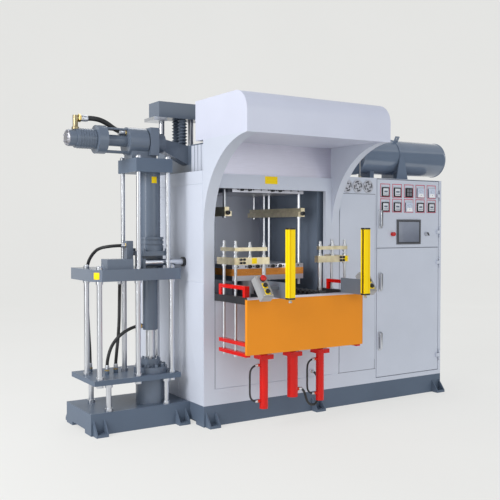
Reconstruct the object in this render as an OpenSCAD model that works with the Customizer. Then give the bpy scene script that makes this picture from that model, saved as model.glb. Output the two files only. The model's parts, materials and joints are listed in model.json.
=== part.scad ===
// Vertical rubber injection moulding machine with a slide-out table, a column-built
// injection unit on its left and an electrical cabinet on its right.
// Millimetres. +X runs to the right along the front, +Y to the rear, +Z up.
// Places are counted from the left wall, the cabinet front and the floor, and the whole
// machine is then moved so that the origin is the middle of its footprint.

/* [Base frames] */
// Height of both welded base frames
base_h = 155; // [130:1:180]
// Depth of the main base and of the housings on it
main_depth = 1170; // [1050:5:1300]
// Length of the injection unit's base
inj_len = 785; // [770:1:850]
// Depth of the injection unit's base
inj_depth = 500; // [490:1:560]
// Set-back of the injection base behind the cabinet front
inj_setback = 210; // [190:1:215]
// Height of the raised lower edge between corner feet
foot_lift = 28; // [15:1:40]
// Length of a corner foot
foot_len = 120; // [90:1:160]
// Width of an anchor lug
lug_w = 90; // [70:1:110]
// Reach of an anchor lug out of the base
lug_l = 70; // [60:1:80]
// Thickness of an anchor lug
lug_t = 20; // [14:1:26]
// Bore of an anchor lug
lug_hole_d = 22; // [18:1:26]
// Distance of an outer lug from the end of its base
lug_inset = 60; // [58:1:80]
// Place of the middle lugs along the main base
lug_mid_x = 1030; // [900:5:1150]

/* [Housings] */
// Width of the press housing
press_w = 1250; // [1230:1:1300]
// Width of the fan bay
bay_w = 410; // [390:1:450]
// Width of the electrical cabinet
cab_w = 770; // [740:1:820]
// Depth of the electrical cabinet
cab_depth = 420; // [380:5:480]
// Height of the housings' top
body_top = 1880; // [1870:1:1930]
// Thickness of the sheet steel
sheet = 4; // [3:0.5:5]
// Width of the left arch's front band
band_w = 90; // [84:1:96]
// Width of the right arch's front band
band_right_w = 64; // [58:1:70]
// Radius of the arch that carries the hood
arch_r = 640; // [620:1:660]
// Height where the arch starts
arch_z = 1460; // [1440:1:1480]
// Reach of the hood in front of the cabinet
hood_reach = 590; // [560:1:610]
// Reach of the hood behind the cabinet front
hood_tail = 120; // [80:1:160]
// Height of the hood
hood_h = 290; // [260:1:320]
// Set-back of the hood's top edge behind its nose
hood_rake = 150; // [120:1:180]
// Overhang of the hood on the right
hood_over = 20; // [5:1:30]

/* [Press opening] */
// Gap between the table and the sill of the press opening
sill_gap = 4; // [3:0.5:8]
// Height of the top of the press opening
open_top = 1755; // [1740:1:1775]
// Width of the right stile
stile_w = 66; // [60:1:72]
// Depth of the front frame
frame_t = 30; // [20:1:40]
// Height of the lintel
lintel_h = 105; // [90:1:115]
// Set-back of the bright header sheet
header_back = 14; // [8:1:18]
// Height of the kick strip's top above the floor
kick_z = 271; // [240:1:300]
// Width of a panel joint
seam = 4; // [3:0.5:6]

/* [Press] */
// Gap between the right press upright and the right arch
upright_side = 26; // [20:1:34]
// Thickness of a press upright
upright_t = 80; // [60:1:84]
// Depth of the press uprights
upright_d = 800; // [780:5:900]
// Set-back of the press uprights
upright_y = 60; // [55:1:75]
// Height of the crown's underside
crown_z = 1790; // [1780:1:1800]
// Gap between the crown and the hood over it
crown_gap = 10; // [6:1:30]
// Gap between the hot plates and a press upright
plate_side = 145; // [130:1:160]
// Depth of the hot plates
plate_d = 680; // [640:1:700]
// Set-back of the hot plates' front edge
plate_y = 50; // [42:1:70]
// Thickness of the upper hot plate
upper_plate_t = 45; // [35:1:50]
// Thickness of the upper insulation
upper_ins_t = 15; // [10:1:20]
// Height of the moving platen's underside
platen_z = 1060; // [1050:1:1070]
// Thickness of the moving platen
platen_t = 38; // [34:1:44]
// Thickness of the lower insulation
lower_ins_t = 52; // [46:1:56]
// Thickness of the lower hot plate
lower_plate_t = 32; // [28:1:36]
// Diameter of the clamping ram
ram_d = 220; // [200:1:250]
// Diameter of the clamping cylinder
clamp_d = 320; // [290:1:340]
// Height of the clamping cylinder's top
clamp_top = 760; // [720:1:780]
// Width of a middle rail
mid_rail_w = 60; // [54:1:66]
// Gap between a hanger rod and the hot plate beside it
hanger_gap = 6; // [5:0.5:8]
// Height of a middle rail's underside
mid_rail_z = 1550; // [1545:1:1570]
// Height of a middle rail
mid_rail_h = 70; // [60:1:76]
// Length of a middle rail
mid_rail_l = 760; // [720:1:780]
// Set-back of the middle rails' front end
mid_rail_y = 90; // [84:1:96]
// Diameter of the rods that carry the middle rails
hanger_d = 26; // [22:1:28]
// Distance of a hanger rod from its rail's end
hanger_in = 46; // [40:1:52]
// Height of the long rods' lower end
rod_low = 1010; // [1000:1:1040]
// Place of the rear pair of long rods behind the front
rear_rod_y = 605; // [590:1:620]
// Distance between the rods of that pair
rear_rod_pitch = 75; // [64:1:86]
// Bore of the heater cartridges in the hot plates
heater_d = 14; // [10:1:16]

/* [Top crosshead] */
// Overhang of the crosshead over the injection unit
cross_over = 130; // [100:1:150]
// Width of the crosshead
cross_w = 180; // [150:1:200]
// Place of the crosshead's centre behind the front
cross_y = 550; // [530:1:570]
// Height of the crosshead's underside
cross_z = 2310; // [2290:1:2330]
// Height of the crosshead
cross_h = 120; // [100:1:130]
// Diameter of the crosshead's rods
cross_rod_d = 44; // [36:1:50]
// Distance of the crosshead's outer rods from the press upright
cross_rod_in = 60; // [50:1:80]
// Distance between the crosshead's rods on one side
cross_rod_pitch = 200; // [160:1:240]
// Overhang of the bright plate at the crosshead's left end
end_over = 40; // [30:1:50]
// Length of that plate
end_plate_l = 110; // [100:1:120]
// Thickness of that plate
end_plate_t = 26; // [20:1:32]
// Length of the rod that hangs from the crosshead
end_rod_l = 130; // [110:1:140]

/* [Table] */
// Reach of the table in front of the cabinet
table_reach = 450; // [430:1:470]
// Height of the table's underside
table_z = 930; // [920:1:940]
// Height of the table's rails
rail_h = 50; // [46:1:54]
// Width of a side rail
rail_w = 40; // [38:1:44]
// Depth of the table's front bar
front_bar_d = 24; // [20:1:30]
// Offset of a roller track from the lift cylinder beside it
track_in = 86; // [80:1:92]
// Width of a roller track
track_w = 60; // [54:1:66]
// Diameter of a table roller
roller_d = 34; // [30:1:38]
// Distance between table rollers
roller_pitch = 56; // [48:1:70]
// Height of the orange skirt's lower edge
skirt_z = 583; // [560:1:600]
// Height of the orange skirt
skirt_h = 384; // [370:1:390]
// Thickness of a side arm
arm_t = 12; // [10:1:16]
// Height of a side arm
arm_h = 110; // [100:1:120]
// Reach of the side arms in front of the cabinet
arm_reach = 675; // [660:1:690]
// Width of a light curtain
curtain_w = 50; // [44:1:56]
// Depth of a light curtain
curtain_d = 45; // [40:1:50]
// Length of a light curtain
curtain_h = 473; // [440:1:500]
// Width of a control box
box_w = 86; // [80:1:92]
// Depth of a control box
box_d = 62; // [56:1:68]
// Length of a control box
box_h = 172; // [165:1:180]
// Offset of a control box from the inside of the table's rail
box_in = 15; // [8:1:22]
// Place of a control box in front of the cabinet
box_y = 560; // [550:1:575]
// Height of a control box's centre
box_z = 1052; // [1045:1:1060]
// Tilt of a control box
box_tilt = 38; // [30:1:45]
// Diameter of a control box's bracket tube
box_tube_d = 26; // [22:1:30]

/* [Lifts] */
// Place of the lift cylinders in front of the cabinet
lift_y = 265; // [260:1:270]
// Offset of a side lift cylinder from the table's rail
lift_in = 239; // [232:1:244]
// Diameter of a side lift cylinder
lift_cyl_d = 62; // [58:1:66]
// Diameter of the middle lift cylinder
mid_cyl_d = 80; // [74:1:84]
// Height of a side lift cylinder's lower end
lift_cyl_z = 153; // [140:1:165]
// Height of the middle lift cylinder's lower end
mid_cyl_z = 210; // [195:1:225]
// Height of the lift cylinders' flange underside
lift_flange_z = 515; // [505:1:525]
// Thickness of the lift cylinders' flange
lift_flange_t = 32; // [28:1:36]
// Width of the lift cylinders' flange
lift_flange_w = 104; // [96:1:110]
// Diameter of the lift cylinders' neck
lift_neck_d = 50; // [46:1:54]
// Drop of a lift cylinder's upper port below its flange
port_drop = 45; // [40:1:60]
// Rise of a lift cylinder's lower port above its lower end
port_rise = 57; // [50:1:70]
// Reach of a lift cylinder's ports from its axis
port_reach = 54; // [48:1:60]
// Diameter of a lift cylinder's ports
port_d = 22; // [18:1:24]
// Distance between the studs of a lift bar
stud_pitch = 120; // [110:1:130]
// Diameter of a lift cylinder's rod
lift_rod_d = 30; // [26:1:32]
// Diameter of a lift guide rod
guide_d = 22; // [18:1:24]
// Place of the rear guide rod in front of the cabinet
guide_rear_y = 105; // [95:1:115]
// Height of the lift bars' underside
lift_bar_z = 1200; // [1190:1:1210]
// Height of the lower lift bar
lift_bar_h = 50; // [44:1:56]
// Thickness of the lower lift bar
lift_bar_t = 44; // [42:1:50]
// Height of the upper lift bar
top_bar_h = 26; // [22:1:30]
// Thickness of the upper lift bar
top_bar_t = 30; // [26:1:34]
// Height of the upper lift bar's underside
top_bar_z = 1296; // [1290:1:1305]
// Height of the studs' upper end
stud_top = 1370; // [1350:1:1385]
// Height of the lower red tie's underside
tie_low_z = 566; // [560:1:575]
// Height of the upper red tie's underside
tie_high_z = 640; // [630:1:648]
// Height of a red tie
tie_h = 26; // [22:1:30]
// Width of a red tie
tie_w = 36; // [34:1:40]
// Height of the guide bracket above the table
bracket_h = 78; // [70:1:84]

/* [Electrical cabinet] */
// Height of the joint between the two doors
door_split = 1290; // [1270:1:1310]
// Thickness of a cabinet door
door_t = 24; // [20:1:28]
// Gap round a cabinet door
door_gap = 6; // [5:0.5:8]
// Height of the plinth below the lower door
door_foot = 36; // [30:1:50]
// Width of the right post that carries the hinges
hinge_post = 30; // [26:1:34]
// Width of the return behind the doors
door_stop = 16; // [12:1:20]
// Diameter of a hinge knuckle
knuckle_d = 16; // [14:1:18]
// Diameter of a hinge pin
pin_d = 8; // [6:0.5:9]
// Height of a hinge
hinge_h = 90; // [80:1:110]
// Height of the lower handle above the opening
handle_low = 310; // [280:1:340]
// Height of the upper handle above the opening
handle_high = 812; // [780:1:840]
// Height of the upper door's handle above the joint
handle_up = 246; // [220:1:270]
// Side of an instrument's bezel
gauge = 78; // [72:1:84]
// Distance between instruments
gauge_pitch = 136; // [128:1:138]
// Distance between the two rows of instruments
gauge_row = 126; // [118:1:132]
// Height of the lower row of instruments
gauge_z = 1640; // [1625:1:1650]
// Width of the touch screen
screen_w = 280; // [260:1:300]
// Height of the touch screen
screen_h = 213; // [200:1:220]
// Height of the touch screen's lower edge
screen_z = 1320; // [1312:1:1330]
// Diameter of a fan grille
fan_d = 100; // [90:1:106]
// Height of the fan grilles
fan_z = 1805; // [1800:1:1815]
// Height of the bay cover's lower edge
cover_z = 355; // [330:1:380]
// Height of the bay cover's upper edge
cover_top = 1740; // [1720:1:1746]

/* [Hydraulic tank] */
// Diameter of the tank
tank_d = 305; // [290:1:320]
// Place of the tank's axis behind the front
tank_y = 200; // [190:1:220]
// Gap between the cabinet top and the tank
tank_lift = 48; // [40:1:60]
// Place of the tank's left end
tank_x = 1570; // [1540:1:1600]
// Length of the tank
tank_len = 1016; // [980:1:1040]
// Depth of the tank's dished end
tank_dish = 62; // [50:1:75]
// Place of the strap along the tank
strap_x = 1990; // [1960:1:2020]
// Width of the strap
strap_w = 44; // [36:1:52]
// Spread of the strap's gusset at its foot
gusset_w = 130; // [110:1:150]
// Turn of the strap's clamp ears towards the front
ear_turn = 30; // [20:1:40]

/* [Injection unit] */
// Place of the injection axis left of the wall
inj_x = 250; // [245:1:255]
// Place of the injection axis behind the front
inj_y = 375; // [370:1:380]
// Height of the lower plate's underside
low_plate_z = 345; // [335:1:355]
// Thickness of the lower plate
low_plate_t = 36; // [30:1:42]
// Length of the two large plates
plate_len = 680; // [670:1:690]
// Distance of the plates' right edge from the wall
plate_off = 72; // [66:1:78]
// Depth of the two large plates
plate_depth = 470; // [460:1:480]
// Reach of the plates in front of the injection axis
plate_ahead = 155; // [150:1:160]
// Distance of the front columns from the plates' front edge
column_in = 42; // [38:1:46]
// Distance of the rear columns from the plates' rear edge
column_back = 175; // [160:1:180]
// Distance of the outer columns from the plates' ends
column_end = 55; // [50:1:60]
// Distance of the middle columns from the plates' right end
column_mid = 328; // [320:1:336]
// Height of the middle plate's underside
mid_plate_z = 1080; // [1070:1:1090]
// Thickness of the middle plate
mid_plate_t = 85; // [78:1:90]
// Cut of the middle plate's front corner
mid_chamfer = 60; // [40:1:70]
// Diameter of the lower columns
column_d = 38; // [34:1:40]
// Diameter of the injection cylinder
inj_cyl_d = 222; // [210:1:230]
// Diameter of the injection cylinder's flange
inj_flange_d = 248; // [240:1:252]
// Thickness of the injection cylinder's flange
inj_flange_t = 46; // [40:1:50]
// Diameter of the injection cylinder's gland
gland_d = 150; // [140:1:160]
// Height of the injection cylinder's gland
gland_h = 58; // [50:1:64]
// Diameter of the injection rod
inj_rod_d = 70; // [64:1:74]
// Length of the injection rod
inj_rod_len = 588; // [580:1:596]
// Diameter of the ram sleeve
sleeve_d = 114; // [108:1:120]
// Height of the ram sleeve's lower end
sleeve_z = 700; // [690:1:705]
// Diameter of the nozzle
nozzle_d = 50; // [46:1:54]
// Height of the nozzle above the middle plate
nozzle_up = 40; // [38:1:46]
// Place of the nozzle behind the front
nozzle_y = 300; // [298:1:304]
// Length of the block that holds the nozzle's left end
holder_l = 20; // [16:1:24]
// Thickness of that block round the nozzle
holder_t = 6; // [5:1:8]
// Side of the runner block under the barrel
runner_w = 170; // [160:1:180]
// Height of the runner block
runner_h = 90; // [84:1:96]
// Distance of the side block from the plate's left end
block_in = 112; // [106:1:120]
// Length of the side block on the middle plate
block_l = 200; // [190:1:206]
// Depth of the side block
block_d = 120; // [110:1:130]
// Height of the side block
block_h = 72; // [66:1:80]
// Width of the valve block
valve_w = 50; // [46:1:54]
// Depth of the valve block
valve_d = 60; // [54:1:66]
// Height of the valve block
valve_h = 200; // [190:1:210]
// Set-back of the valve block behind the axis
valve_back = 45; // [40:1:50]
// Gap between the injection axis and the valve block
valve_off = 130; // [125:1:134]
// Barrel hose's lower port left of the wall
port_x = 640; // [630:1:650]
// Barrel hose's lower port behind the front
port_y = 600; // [590:1:610]
// Height of the hose ports over the lower plate
port_h = 30; // [24:1:36]
// Diameter of the barrel's collar
collar_d = 200; // [190:1:208]
// Side of the square flange under the barrel's collar
flange_w = 210; // [200:1:216]
// Thickness of that flange
flange_t = 34; // [28:1:40]
// Height of the barrel's collar
collar_h = 138; // [130:1:146]
// Diameter of the barrel
barrel_d = 154; // [146:1:160]
// Height of the top plate's underside
top_plate_z = 1868; // [1860:1:1876]
// Thickness of the top plate
top_plate_t = 100; // [90:1:110]
// Length of the top plate
top_plate_len = 288; // [284:1:300]
// Depth of the top plate
top_plate_d = 334; // [330:1:344]
// Diameter of the upper tie rods
tie_rod_d = 32; // [28:1:34]

/* [Plasticiser] */
// Height of the plasticiser's axis
plast_z = 2096; // [2092:1:2104]
// Diameter of the plasticiser's barrel
plast_d = 204; // [196:1:208]
// Length of the plasticiser's barrel
plast_len = 148; // [140:1:156]
// Length of the barrel's square clamp block
clamp_len = 68; // [60:1:74]
// Diameter of the tube up to the support arm
neck_d = 146; // [138:1:152]
// Reach of that tube beyond the barrel
neck_len = 146; // [138:1:150]
// Depth of the support arm on the press
arm_depth = 90; // [80:1:110]
// Diameter of the coupling tube
coupling_d = 83; // [78:1:88]
// Length of the coupling tube
coupling_len = 167; // [160:1:174]
// Thickness of the motor flange
motor_flange = 69; // [62:1:74]
// Diameter of the drive motor
motor_d = 138; // [130:1:144]
// Length of the drive motor
motor_len = 199; // [190:1:206]
// Diameter of the studs between motor and plasticiser
stud_d = 16; // [12:1:18]
// Place of the port elbow along the drive motor
elbow_in = 54; // [48:1:60]
// Reach of the port elbow to the right
elbow_reach = 31; // [28:1:36]
// Height of the port elbow's axis above the drive motor
elbow_up = 74; // [68:1:80]
// Height of the hose port over the plasticiser's axis
plast_port = 66; // [60:1:72]

/* [Hoses] */
// Diameter of the motor hose and of its elbow
motor_hose_d = 36; // [32:1:38]
// Diameter of the barrel hose
barrel_hose_d = 24; // [20:1:26]
// Diameter of a lift hose
lift_hose_d = 14; // [12:1:16]
// Diameter of the hose from the middle cylinder to the panel
cross_hose_d = 18; // [16:1:20]
// Reach of that hose's boss in the panel
boss_reach = 14; // [12:1:18]
// Reach of the ram hose's fitting out of the ram sleeve
ram_fit = 23; // [20:1:28]
// Height of that fitting over the sleeve's lower end
ram_fit_z = 30; // [28:1:36]

/* [Fits] */
// Radial play of a rod in its guide
rod_play = 0.4; // [0.3:0.1:0.8]
// Play of pieces that are dropped into each other
seat_play = 0.3; // [0.2:0.1:0.5]

/* [Hidden] */
$fn = 64;
eps = 1;
rubber = [0.10, 0.10, 0.10];

main_len = press_w + bay_w + cab_w;
press_c = (band_w + press_w - band_right_w - stile_w) / 2;
hood_z = arch_z + arch_r;
crown_top = hood_z - crown_gap;
cab_x = press_w + bay_w;
upright_in = press_w - band_right_w - upright_side - upright_t - press_c;
plate_w = 2 * (upright_in - plate_side);
rail_c = upright_in + rail_w / 2;
arm_dx = plate_w / 2;
box_dx = upright_in - box_in;
lift_dx = rail_c - lift_in;
track_dx = lift_dx - track_in;
rail_top = table_z + rail_h;
ins_z = platen_z + platen_t;
hot_z = ins_z + lower_ins_t;
upper_z = crown_z - upper_ins_t - upper_plate_t;
plate_mid_y = plate_y + plate_d / 2;
hang_x = plate_w / 2 + hanger_gap + hanger_d / 2;
open_z = table_z - sill_gap;
hang_ys = [mid_rail_y + hanger_in, mid_rail_y + mid_rail_l - hanger_in];
long_ys = [rear_rod_y - rear_rod_pitch / 2, rear_rod_y + rear_rod_pitch / 2];
tank_z = body_top + tank_lift + tank_d / 2;
low_plate_top = low_plate_z + low_plate_t;
mid_plate_top = mid_plate_z + mid_plate_t;
plate_front = inj_y - plate_ahead;
plate_left = -plate_off - plate_len;
column_front = plate_front + column_in;
column_rear = plate_front + plate_depth - column_back;
column_xs = [-plate_off - column_end, -plate_off - column_mid, plate_left + column_end];
collar_z = mid_plate_top + runner_h;
nozzle_z = mid_plate_top + nozzle_up;
nozzle_x = -inj_x - runner_w / 2;
runner_y = nozzle_y + nozzle_d / 2 + holder_t;
top_plate_x = -inj_x - 177;
plast_x0 = -inj_x - 194;
motor_x = plast_x0 - coupling_len - motor_flange - motor_len;
flange_x = motor_x + motor_len;
elbow_z = plast_z + motor_d / 2 + elbow_up;
hinge_x = main_len - hinge_post + knuckle_d / 2;
hinge_y = -knuckle_d / 2;
door_x = cab_x + sheet + door_gap;
door_right = main_len - hinge_post - door_gap;

// Outer reach of the machine, from which its middle is found
x_low = motor_x;
x_high = tank_x + tank_len;
y_low = -arm_reach - curtain_d;
y_high = main_depth + lug_l;
mid_x = (x_low + x_high) / 2;
mid_y = (y_low + y_high) / 2;

// Hose routes, counted from the left wall, the cabinet front and the floor
motor_route = [
    [-794, 375, 2239], [-768, 375, 2239], [-740, 375, 2241], [-710, 375, 2243], [-680, 375, 2242],
    [-650, 375, 2238], [-622, 375, 2230], [-596, 375, 2219], [-572, 375, 2206], [-550, 375, 2192],
    [-528, 375, 2180], [-506, 375, 2171], [-485, 375, 2165], [-464, 375, 2162], [-444, 375, 2162]
];
barrel_route = [
    [-430, 420, 1330], [-470, 420, 1330], [-515, 428, 1328], [-556, 450, 1323], [-588, 486, 1314],
    [-604, 534, 1299], [-610, 586, 1276], [-612, 638, 1247], [-613, 684, 1212], [-614, 714, 1166],
    [-615, 728, 1110], [-616, 730, 1048], [-618, 724, 986], [-620, 712, 924], [-623, 697, 862],
    [-626, 679, 800], [-630, 660, 738], [-634, 641, 676], [-637, 624, 616], [-639, 610, 556],
    [-640, 602, 496], [-640, 600, 446], [-640, 600, 411]
];
drain_route = [
    [-455, 470, 1080], [-455, 470, 1050], [-456, 470, 1000], [-457, 470, 950], [-458, 470, 900],
    [-459, 470, 850], [-460, 470, 800], [-462, 470, 750], [-465, 470, 700], [-469, 470, 650],
    [-474, 470, 600], [-480, 470, 550], [-485, 470, 500], [-489, 470, 460], [-490, 470, 430],
    [-490, 470, 411]
];
ram_route = [
    [-330, 375, 730], [-350, 375, 730], [-375, 376, 726], [-401, 379, 718], [-428, 384, 706],
    [-455, 391, 690], [-480, 399, 670], [-503, 408, 646], [-523, 417, 618], [-540, 425, 586],
    [-553, 431, 550], [-562, 436, 512], [-568, 439, 474], [-570, 440, 440], [-570, 440, 411]
];
cross_route = [
    [659, -265, 260], [672, -265, 260], [690, -263, 255], [708, -259, 243], [723, -253, 226],
    [736, -246, 206], [749, -238, 184], [763, -229, 162], [779, -220, 141], [798, -211, 124],
    [820, -203, 111], [844, -195, 104], [868, -187, 103], [891, -178, 109], [912, -167, 122],
    [930, -154, 141], [945, -142, 164], [957, -130, 188], [966, -118, 213], [972, -106, 239],
    [976, -92, 265], [979, -76, 288], [980, -58, 305], [980, -40, 316], [980, -26, 320],
    [980, -14, 320]
];
lift_route = [
    [-54, 0, 470], [-64, 0, 470], [-80, 0, 467], [-96, 0, 459], [-108, 0, 447], [-116, 0, 431],
    [-119, 0, 412], [-120, 0, 390], [-120, 0, 364], [-120, 0, 338], [-120, 0, 312], [-120, 0, 288],
    [-119, 0, 268], [-116, 0, 249], [-108, 0, 233], [-96, 0, 221], [-80, 0, 213], [-64, 0, 210],
    [-54, 0, 210]
];

// Ports that the hoses meet
drain_port = [-490, 470];
ram_port = [-570, 440];
cross_port = [980, 320];
mid_port = mid_cyl_z + 50;
elbow_x = motor_x + elbow_in;
valve_x = -inj_x - valve_off - valve_w;
valve_y = inj_y + valve_back;
high_port = lift_flange_z - port_drop;
low_port = lift_cyl_z + port_rise;

function unit(v) = v / norm(v);
function heading(p, i) =
    i == 0 ? unit(p[1] - p[0])
    : i == len(p) - 1 ? unit(p[i] - p[i - 1])
    : unit(unit(p[i + 1] - p[i]) + unit(p[i] - p[i - 1]));
function ring(c, t, across, r, n) =
    let (side = unit(cross(across, t)), rise = cross(t, side))
    [for (k = [0 : n - 1]) c + r * (cos(360 * k / n) * side + sin(360 * k / n) * rise)];

// A hose: one ring of n points at each route point, joined by quads
module hose(route, d, across, n = 10) {
    last = len(route) - 1;
    rings = [for (i = [0 : last]) ring(route[i], heading(route, i), across, d / 2, n)];
    skin = [
        for (i = [0 : last - 1], k = [0 : n - 1])
            [i * n + k, (i + 1) * n + k, (i + 1) * n + (k + 1) % n, i * n + (k + 1) % n]
    ];
    ends = [
        [for (k = [0 : n - 1]) k],
        [for (k = [n - 1 : -1 : 0]) last * n + k]
    ];
    polyhedron([for (r = rings) each r], concat(skin, ends));
}

// Moves the machine so that its middle lies on the origin
module place() {
    translate([-mid_x, -mid_y, 0]) children();
}

// A box from its low corner to its high corner
module box(low, high) {
    translate(low) cube(high - low);
}

// Extrudes a side outline, drawn as (depth, height), along X
module along_x(x, length) {
    translate([x, 0, 0]) rotate([90, 0, 90]) linear_extrude(length) children();
}

// A round bar along X
module bar_x(x, length, y, z, d) {
    translate([x, y, z]) rotate([0, 90, 0]) cylinder(d = d, h = length);
}

// A round bar along Y
module bar_y(y, length, x, z, d) {
    translate([x, y, z]) rotate([-90, 0, 0]) cylinder(d = d, h = length);
}

// A round post
module post(x, y, z, top, d) {
    translate([x, y, z]) cylinder(d = d, h = top - z);
}

// Side 0 is the operator's left of the press centre, side 1 its mirror
module at_side(side) {
    translate([press_c, 0, 0]) mirror([side, 0, 0]) children();
}

module both_sides() {
    for (side = [0, 1]) at_side(side) children();
}

// An anchor lug on a front face at y = 0, with its gusset and bore
module lug() {
    rib = 10;
    difference() {
        union() {
            box([-lug_w / 2, -lug_l, 0], [lug_w / 2, eps, lug_t]);
            for (s = [-1, 1])
                translate([s * (lug_w - rib) / 2 - rib / 2, 0, 0])
                    along_x(0, rib)
                        polygon([[-lug_l, lug_t - eps], [eps, lug_t - eps], [eps, base_h * 0.7]]);
        }
        translate([0, -lug_l / 2, -eps]) cylinder(d = lug_hole_d, h = lug_t + 2 * eps);
    }
}

// Lugs along the front and rear of a base
module lugs(xs, front, rear) {
    for (x = xs) {
        translate([x, front, 0]) lug();
        translate([x, rear, 0]) mirror([0, 1, 0]) lug();
    }
}

// A base block whose short sides stand on corner feet
module base_block(x, length, y, depth) {
    notch = 40;
    difference() {
        box([x, y, 0], [x + length, y + depth, base_h]);
        for (edge = [x - eps, x + length - notch])
            box([edge, y + foot_len, -eps], [edge + notch + eps, y + depth - foot_len, foot_lift]);
    }
}

module main_base() {
    color([0.33, 0.38, 0.44]) place() {
        base_block(0, main_len, 0, main_depth);
        lugs([lug_inset, lug_mid_x, main_len - lug_inset], 0, main_depth);
    }
}

// Side outline of the arch: what lies behind the round nose, up to the hood
module arch_outline() {
    difference() {
        translate([-hood_reach, arch_z]) square([hood_reach + sheet, arch_r]);
        translate([-arch_r, arch_z]) circle(r = arch_r, $fn = 160);
    }
}

// Side outline of the whole wall
module wall_outline() {
    arch_outline();
    translate([0, base_h]) square([main_depth - sheet, body_top - base_h]);
}

// Front skin of an arch: straight below, then rolled forward
module band_outline() {
    translate([0, base_h]) square([sheet, arch_z - base_h]);
    intersection() {
        difference() {
            translate([-arch_r, arch_z]) circle(r = arch_r + sheet, $fn = 160);
            translate([-arch_r, arch_z]) circle(r = arch_r, $fn = 160);
        }
        translate([-hood_reach, arch_z]) square([hood_reach + sheet, arch_r]);
    }
}

module nozzle_hole(x, length) {
    bar_x(x, length, nozzle_y, nozzle_z, nozzle_d + 16);
}

module left_arch_panel() {
    color([0.80, 0.81, 0.85]) place() {
        difference() {
            along_x(0, sheet) wall_outline();
            nozzle_hole(-eps, sheet + 2 * eps);
        }
        along_x(0, band_w) band_outline();
        along_x(band_w - sheet, sheet) arch_outline();
    }
}

module right_arch_panel() {
    color([0.80, 0.81, 0.85]) place() {
        along_x(press_w - sheet, sheet) wall_outline();
        along_x(press_w - band_right_w, band_right_w) band_outline();
        along_x(press_w - band_right_w, sheet) arch_outline();
    }
}

// Lintel, right stile and the panel below the opening, with a joint over its kick strip
module front_frame() {
    left = band_w;
    right = press_w - band_right_w;
    color([0.76, 0.77, 0.82]) place()
        difference() {
            union() {
                box([left, 0, base_h], [right, frame_t, open_top + lintel_h]);
                bar_y(-boss_reach, boss_reach + eps, cross_port[0], cross_port[1], cross_hose_d + 10);
            }
            box([left - eps, -eps, open_z], [right - stile_w, frame_t + eps, open_top]);
            box([left - eps, -eps, kick_z], [right + eps, seam, kick_z + seam]);
        }
}

// Bright sheet over the lintel, reaching up to the hood
module header_panel() {
    low = open_top + lintel_h;
    color([0.86, 0.86, 0.87]) place()
        box([band_w, header_back, low], [press_w - band_right_w, header_back + sheet, hood_z]);
}

// Folded rear sheet with the lid behind the crown
module rear_panel() {
    lid_y = upright_y + upright_d + seam;
    color([0.76, 0.77, 0.82]) place() {
        box([sheet, main_depth - sheet, base_h], [press_w - sheet, main_depth, body_top]);
        box([sheet, lid_y, body_top - sheet], [press_w - sheet, main_depth, body_top]);
    }
}

// Hood: a sheet shell with closed ends, open to the rear
module hood() {
    length = press_w + hood_over;
    color([0.88, 0.89, 0.91]) place()
        difference() {
            hood_body(0, length, 0);
            hood_body(sheet, length - 2 * sheet, sheet);
            box([sheet, hood_tail - 2 * sheet, hood_z + sheet],
                [length - sheet, hood_tail + eps, hood_z + hood_h - sheet]);
        }
}

// Body of the hood: flat below, with a round nose in front
module hood_body(x, length, inset) {
    nose_z = hood_z + hood_h - hood_rake;
    front = -hood_reach + inset;
    along_x(x, length) {
        translate([front, hood_z + inset])
            square([hood_reach + hood_tail - 2 * inset, nose_z - hood_z - inset + eps]);
        translate([front + hood_rake - inset, nose_z])
            square([hood_reach + hood_tail - hood_rake - inset, hood_rake - inset]);
        intersection() {
            translate([-hood_reach + hood_rake, nose_z]) circle(r = hood_rake - inset);
            translate([front, nose_z]) square([hood_rake, hood_rake]);
        }
    }
}

// Two side frames of the press; the left one lets the nozzle through
module press_uprights() {
    color([0.30, 0.34, 0.40]) place() {
        difference() {
            at_side(0) upright();
            nozzle_hole(press_c - upright_in - upright_t - eps, upright_t + 2 * eps);
        }
        at_side(1) upright();
    }
}

module upright() {
    box([-upright_in - upright_t, upright_y, base_h], [-upright_in, upright_y + upright_d, crown_top]);
}

// Fixed crown between the uprights
module crown() {
    color([0.30, 0.34, 0.40]) place()
        at_side(0)
            box([-upright_in, upright_y, crown_z], [upright_in, upright_y + upright_d, crown_top]);
}

// A plate of the hot-plate size between two heights
module press_plate(z, t) {
    translate([press_c - plate_w / 2, plate_y, z]) cube([plate_w, plate_d, t]);
}

// A hot plate with its row of heater bores from the front
module heated_plate(z, t) {
    count = 9;
    pitch = (plate_w - 100) / (count - 1);
    difference() {
        press_plate(z, t);
        for (i = [0 : count - 1])
            bar_y(plate_y - eps, 120, press_c - plate_w / 2 + 50 + i * pitch, z + t / 2, heater_d);
    }
}

module upper_insulation() {
    color([0.84, 0.53, 0.16]) place()
        press_plate(crown_z - upper_ins_t, upper_ins_t);
}

module upper_hot_plate() {
    color([0.75, 0.76, 0.80]) place()
        heated_plate(upper_z, upper_plate_t);
}

// A stepped rail for a middle mould plate, bored for its rods
module middle_rail(rods) {
    low = [-hang_x - mid_rail_w * 0.4, mid_rail_y, mid_rail_z];
    size = [mid_rail_w, mid_rail_l, mid_rail_h];
    difference() {
        translate(low) cube(size);
        translate(low + [mid_rail_w * 0.65, -eps, mid_rail_h * 0.55]) cube(size + [0, 2 * eps, 0]);
        for (y = rods)
            post(-hang_x, y, mid_rail_z - eps, mid_rail_z + mid_rail_h, hanger_d + 2 * seat_play);
    }
}

module middle_rails() {
    color([0.70, 0.65, 0.50]) place() {
        at_side(0) middle_rail(hang_ys);
        at_side(1) middle_rail(concat(hang_ys, long_ys));
    }
}

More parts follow.
